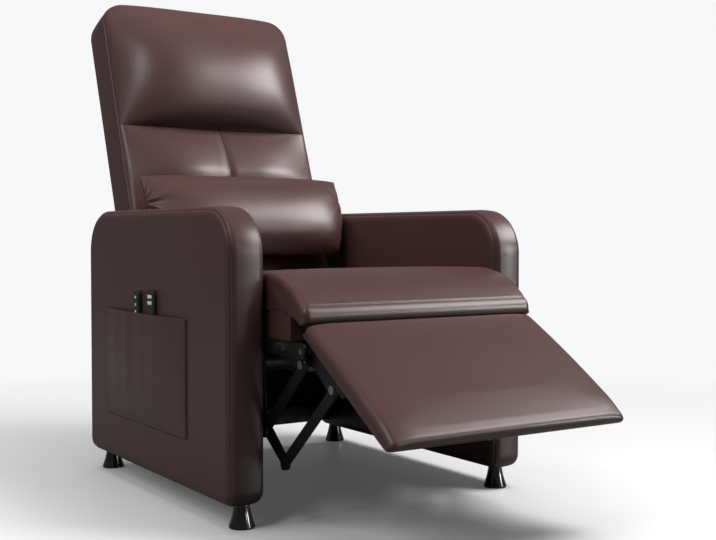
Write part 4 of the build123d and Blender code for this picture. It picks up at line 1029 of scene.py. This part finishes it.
backdrop_white = (0.93, 0.935, 0.94)
mirrored_share = 0.10
surround_light = 0.045
floor_grey = (0.14, 0.14, 0.14)
floor_near, floor_far = 0.45, 2.2
floor_near_white = 0.07
floor_finish = Shader("studio_floor")
path = {kind: floor_finish.node("ShaderNodeLightPath", {}, {}, f"Is {kind} Ray")
        for kind in ("Camera", "Glossy", "Transmission")}
sight = path["Camera"] + mirrored_share * (path["Glossy"] + path["Transmission"])
pale = floor_finish.mix(floor_finish.noise(0.6, 2.0), (0.85, 0.85, 0.85), (0.88, 0.88, 0.88))
floor_finish.set(Base_Color=floor_finish.mix(sight, floor_grey, pale), Roughness=0.35)
distance = floor_finish.node("ShaderNodeVectorMath", {"operation": "LENGTH"}, {0: floor_finish.place},
                             "Value")
far = floor_finish.node("ShaderNodeMapRange", {"interpolation_type": "SMOOTHSTEP"},
                        {0: distance, 1: floor_near, 2: floor_far, 3: floor_near_white, 4: 1.0})
white = floor_finish.node("ShaderNodeEmission", {}, {"Color": backdrop_white, "Strength": 1.0})
lit = Value(floor_finish, floor_finish.surface.outputs[0])
shown = floor_finish.node("ShaderNodeMixShader", {}, {0: sight * far, 1: lit, 2: white})
floor_output = next(node for node in floor_finish.tree.nodes if node.type == "OUTPUT_MATERIAL")
floor_finish.tree.links.new(shown.socket, floor_output.inputs[0])
bpy.ops.mesh.primitive_plane_add(size=24)
floor = bpy.context.object
floor.name = "studio_floor"
floor.data.materials.append(floor_finish.material)
floor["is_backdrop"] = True

world = bpy.data.worlds.new("studio")
bpy.context.scene.world = world
world.use_nodes = True
nodes = world.node_tree.nodes
links = world.node_tree.links
nodes.clear()
output = nodes.new("ShaderNodeOutputWorld")
blend = nodes.new("ShaderNodeMixShader")
ray = nodes.new("ShaderNodeLightPath")
mirrored = nodes.new("ShaderNodeMath")
dimmed = nodes.new("ShaderNodeMath")
dimmed.operation = "MULTIPLY_ADD"
dimmed.inputs[1].default_value = mirrored_share
seen = nodes.new("ShaderNodeBackground")
seen.inputs["Color"].default_value = (*backdrop_white, 1)
light = nodes.new("ShaderNodeBackground")
light.inputs["Color"].default_value = (0.97, 0.98, 1.0, 1)
light.inputs["Strength"].default_value = surround_light
links.new(ray.outputs["Is Glossy Ray"], mirrored.inputs[0])
links.new(ray.outputs["Is Transmission Ray"], mirrored.inputs[1])
links.new(mirrored.outputs[0], dimmed.inputs[0])
links.new(ray.outputs["Is Camera Ray"], dimmed.inputs[2])
links.new(dimmed.outputs[0], blend.inputs[0])
links.new(light.outputs[0], blend.inputs[1])
links.new(seen.outputs[0], blend.inputs[2])
links.new(blend.outputs[0], output.inputs[0])


def softbox(name, spot, aim, size, power, use, beam=180):
    """Rectangular soft lamp at a spot, turned towards a point.

    Its use is light, gloss or both, and its beam is in degrees.
    """
    lamp = bpy.data.lights.new(name, "AREA")
    lamp.shape = "RECTANGLE"
    lamp.size, lamp.size_y = size
    lamp.energy = power
    lamp.spread = math.radians(beam)
    holder = bpy.data.objects.new(name, lamp)
    bpy.context.scene.collection.objects.link(holder)
    holder.location = spot
    holder.visible_diffuse = use != "gloss"
    holder.visible_glossy = use != "light"
    holder.rotation_euler = (Vector(aim) - Vector(spot)).to_track_quat("-Z", "Y").to_euler()


softbox("key", (1.30, -1.01, 3.14), (0, -0.1, 0.5), (1.5, 1.5), 114, "light")
softbox("window", (1.95, -1.10, 2.04), (0.02, 0.40, 0.82), (1.9, 1.2), 23, "gloss", 76)
softbox("window_strip", (1.90, -2.20, 0.72), (0.18, -0.36, 0.36), (0.45, 0.9), 1.10, "gloss", 26)
softbox("arm_strip", (1.00, -2.75, 0.85), (-0.30, -0.27, 0.42), (0.35, 0.9), 0.18, "gloss", 20)
softbox("ceiling", (0.0, 0.5, 3.2), (0, 0.5, 0), (2.6, 2.4), 60, "light")
softbox("left_card", (-1.86, -1.07, 2.64), (0, 0.2, 0.8), (0.6, 0.9), 18, "both")
softbox("left_fill", (-2.8, 0.2, 2.1), (-0.3, 0.1, 0.4), (1.8, 1.6), 36, "light")

photo_size = (716, 540)
photo_focal = 1117.34
sensor = 36.0
camera_spot = Vector((-1.1876, -1.9774, 0.5147))
camera_yaw = math.radians(33.334)
camera_pitch = math.radians(1.855)
camera_data = bpy.data.cameras.new("camera")
camera_data.sensor_width = sensor
camera_data.lens = photo_focal * sensor / photo_size[0]
camera = bpy.data.objects.new("camera", camera_data)
bpy.context.scene.collection.objects.link(camera)
look = Vector((math.sin(camera_yaw) * math.cos(camera_pitch), math.cos(camera_yaw) * math.cos(camera_pitch),
               -math.sin(camera_pitch)))
camera.location = camera_spot
camera.rotation_euler = look.to_track_quat("-Z", "Y").to_euler()
bpy.context.scene.camera = camera
bpy.context.scene.view_settings.view_transform = "Standard"

low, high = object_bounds()
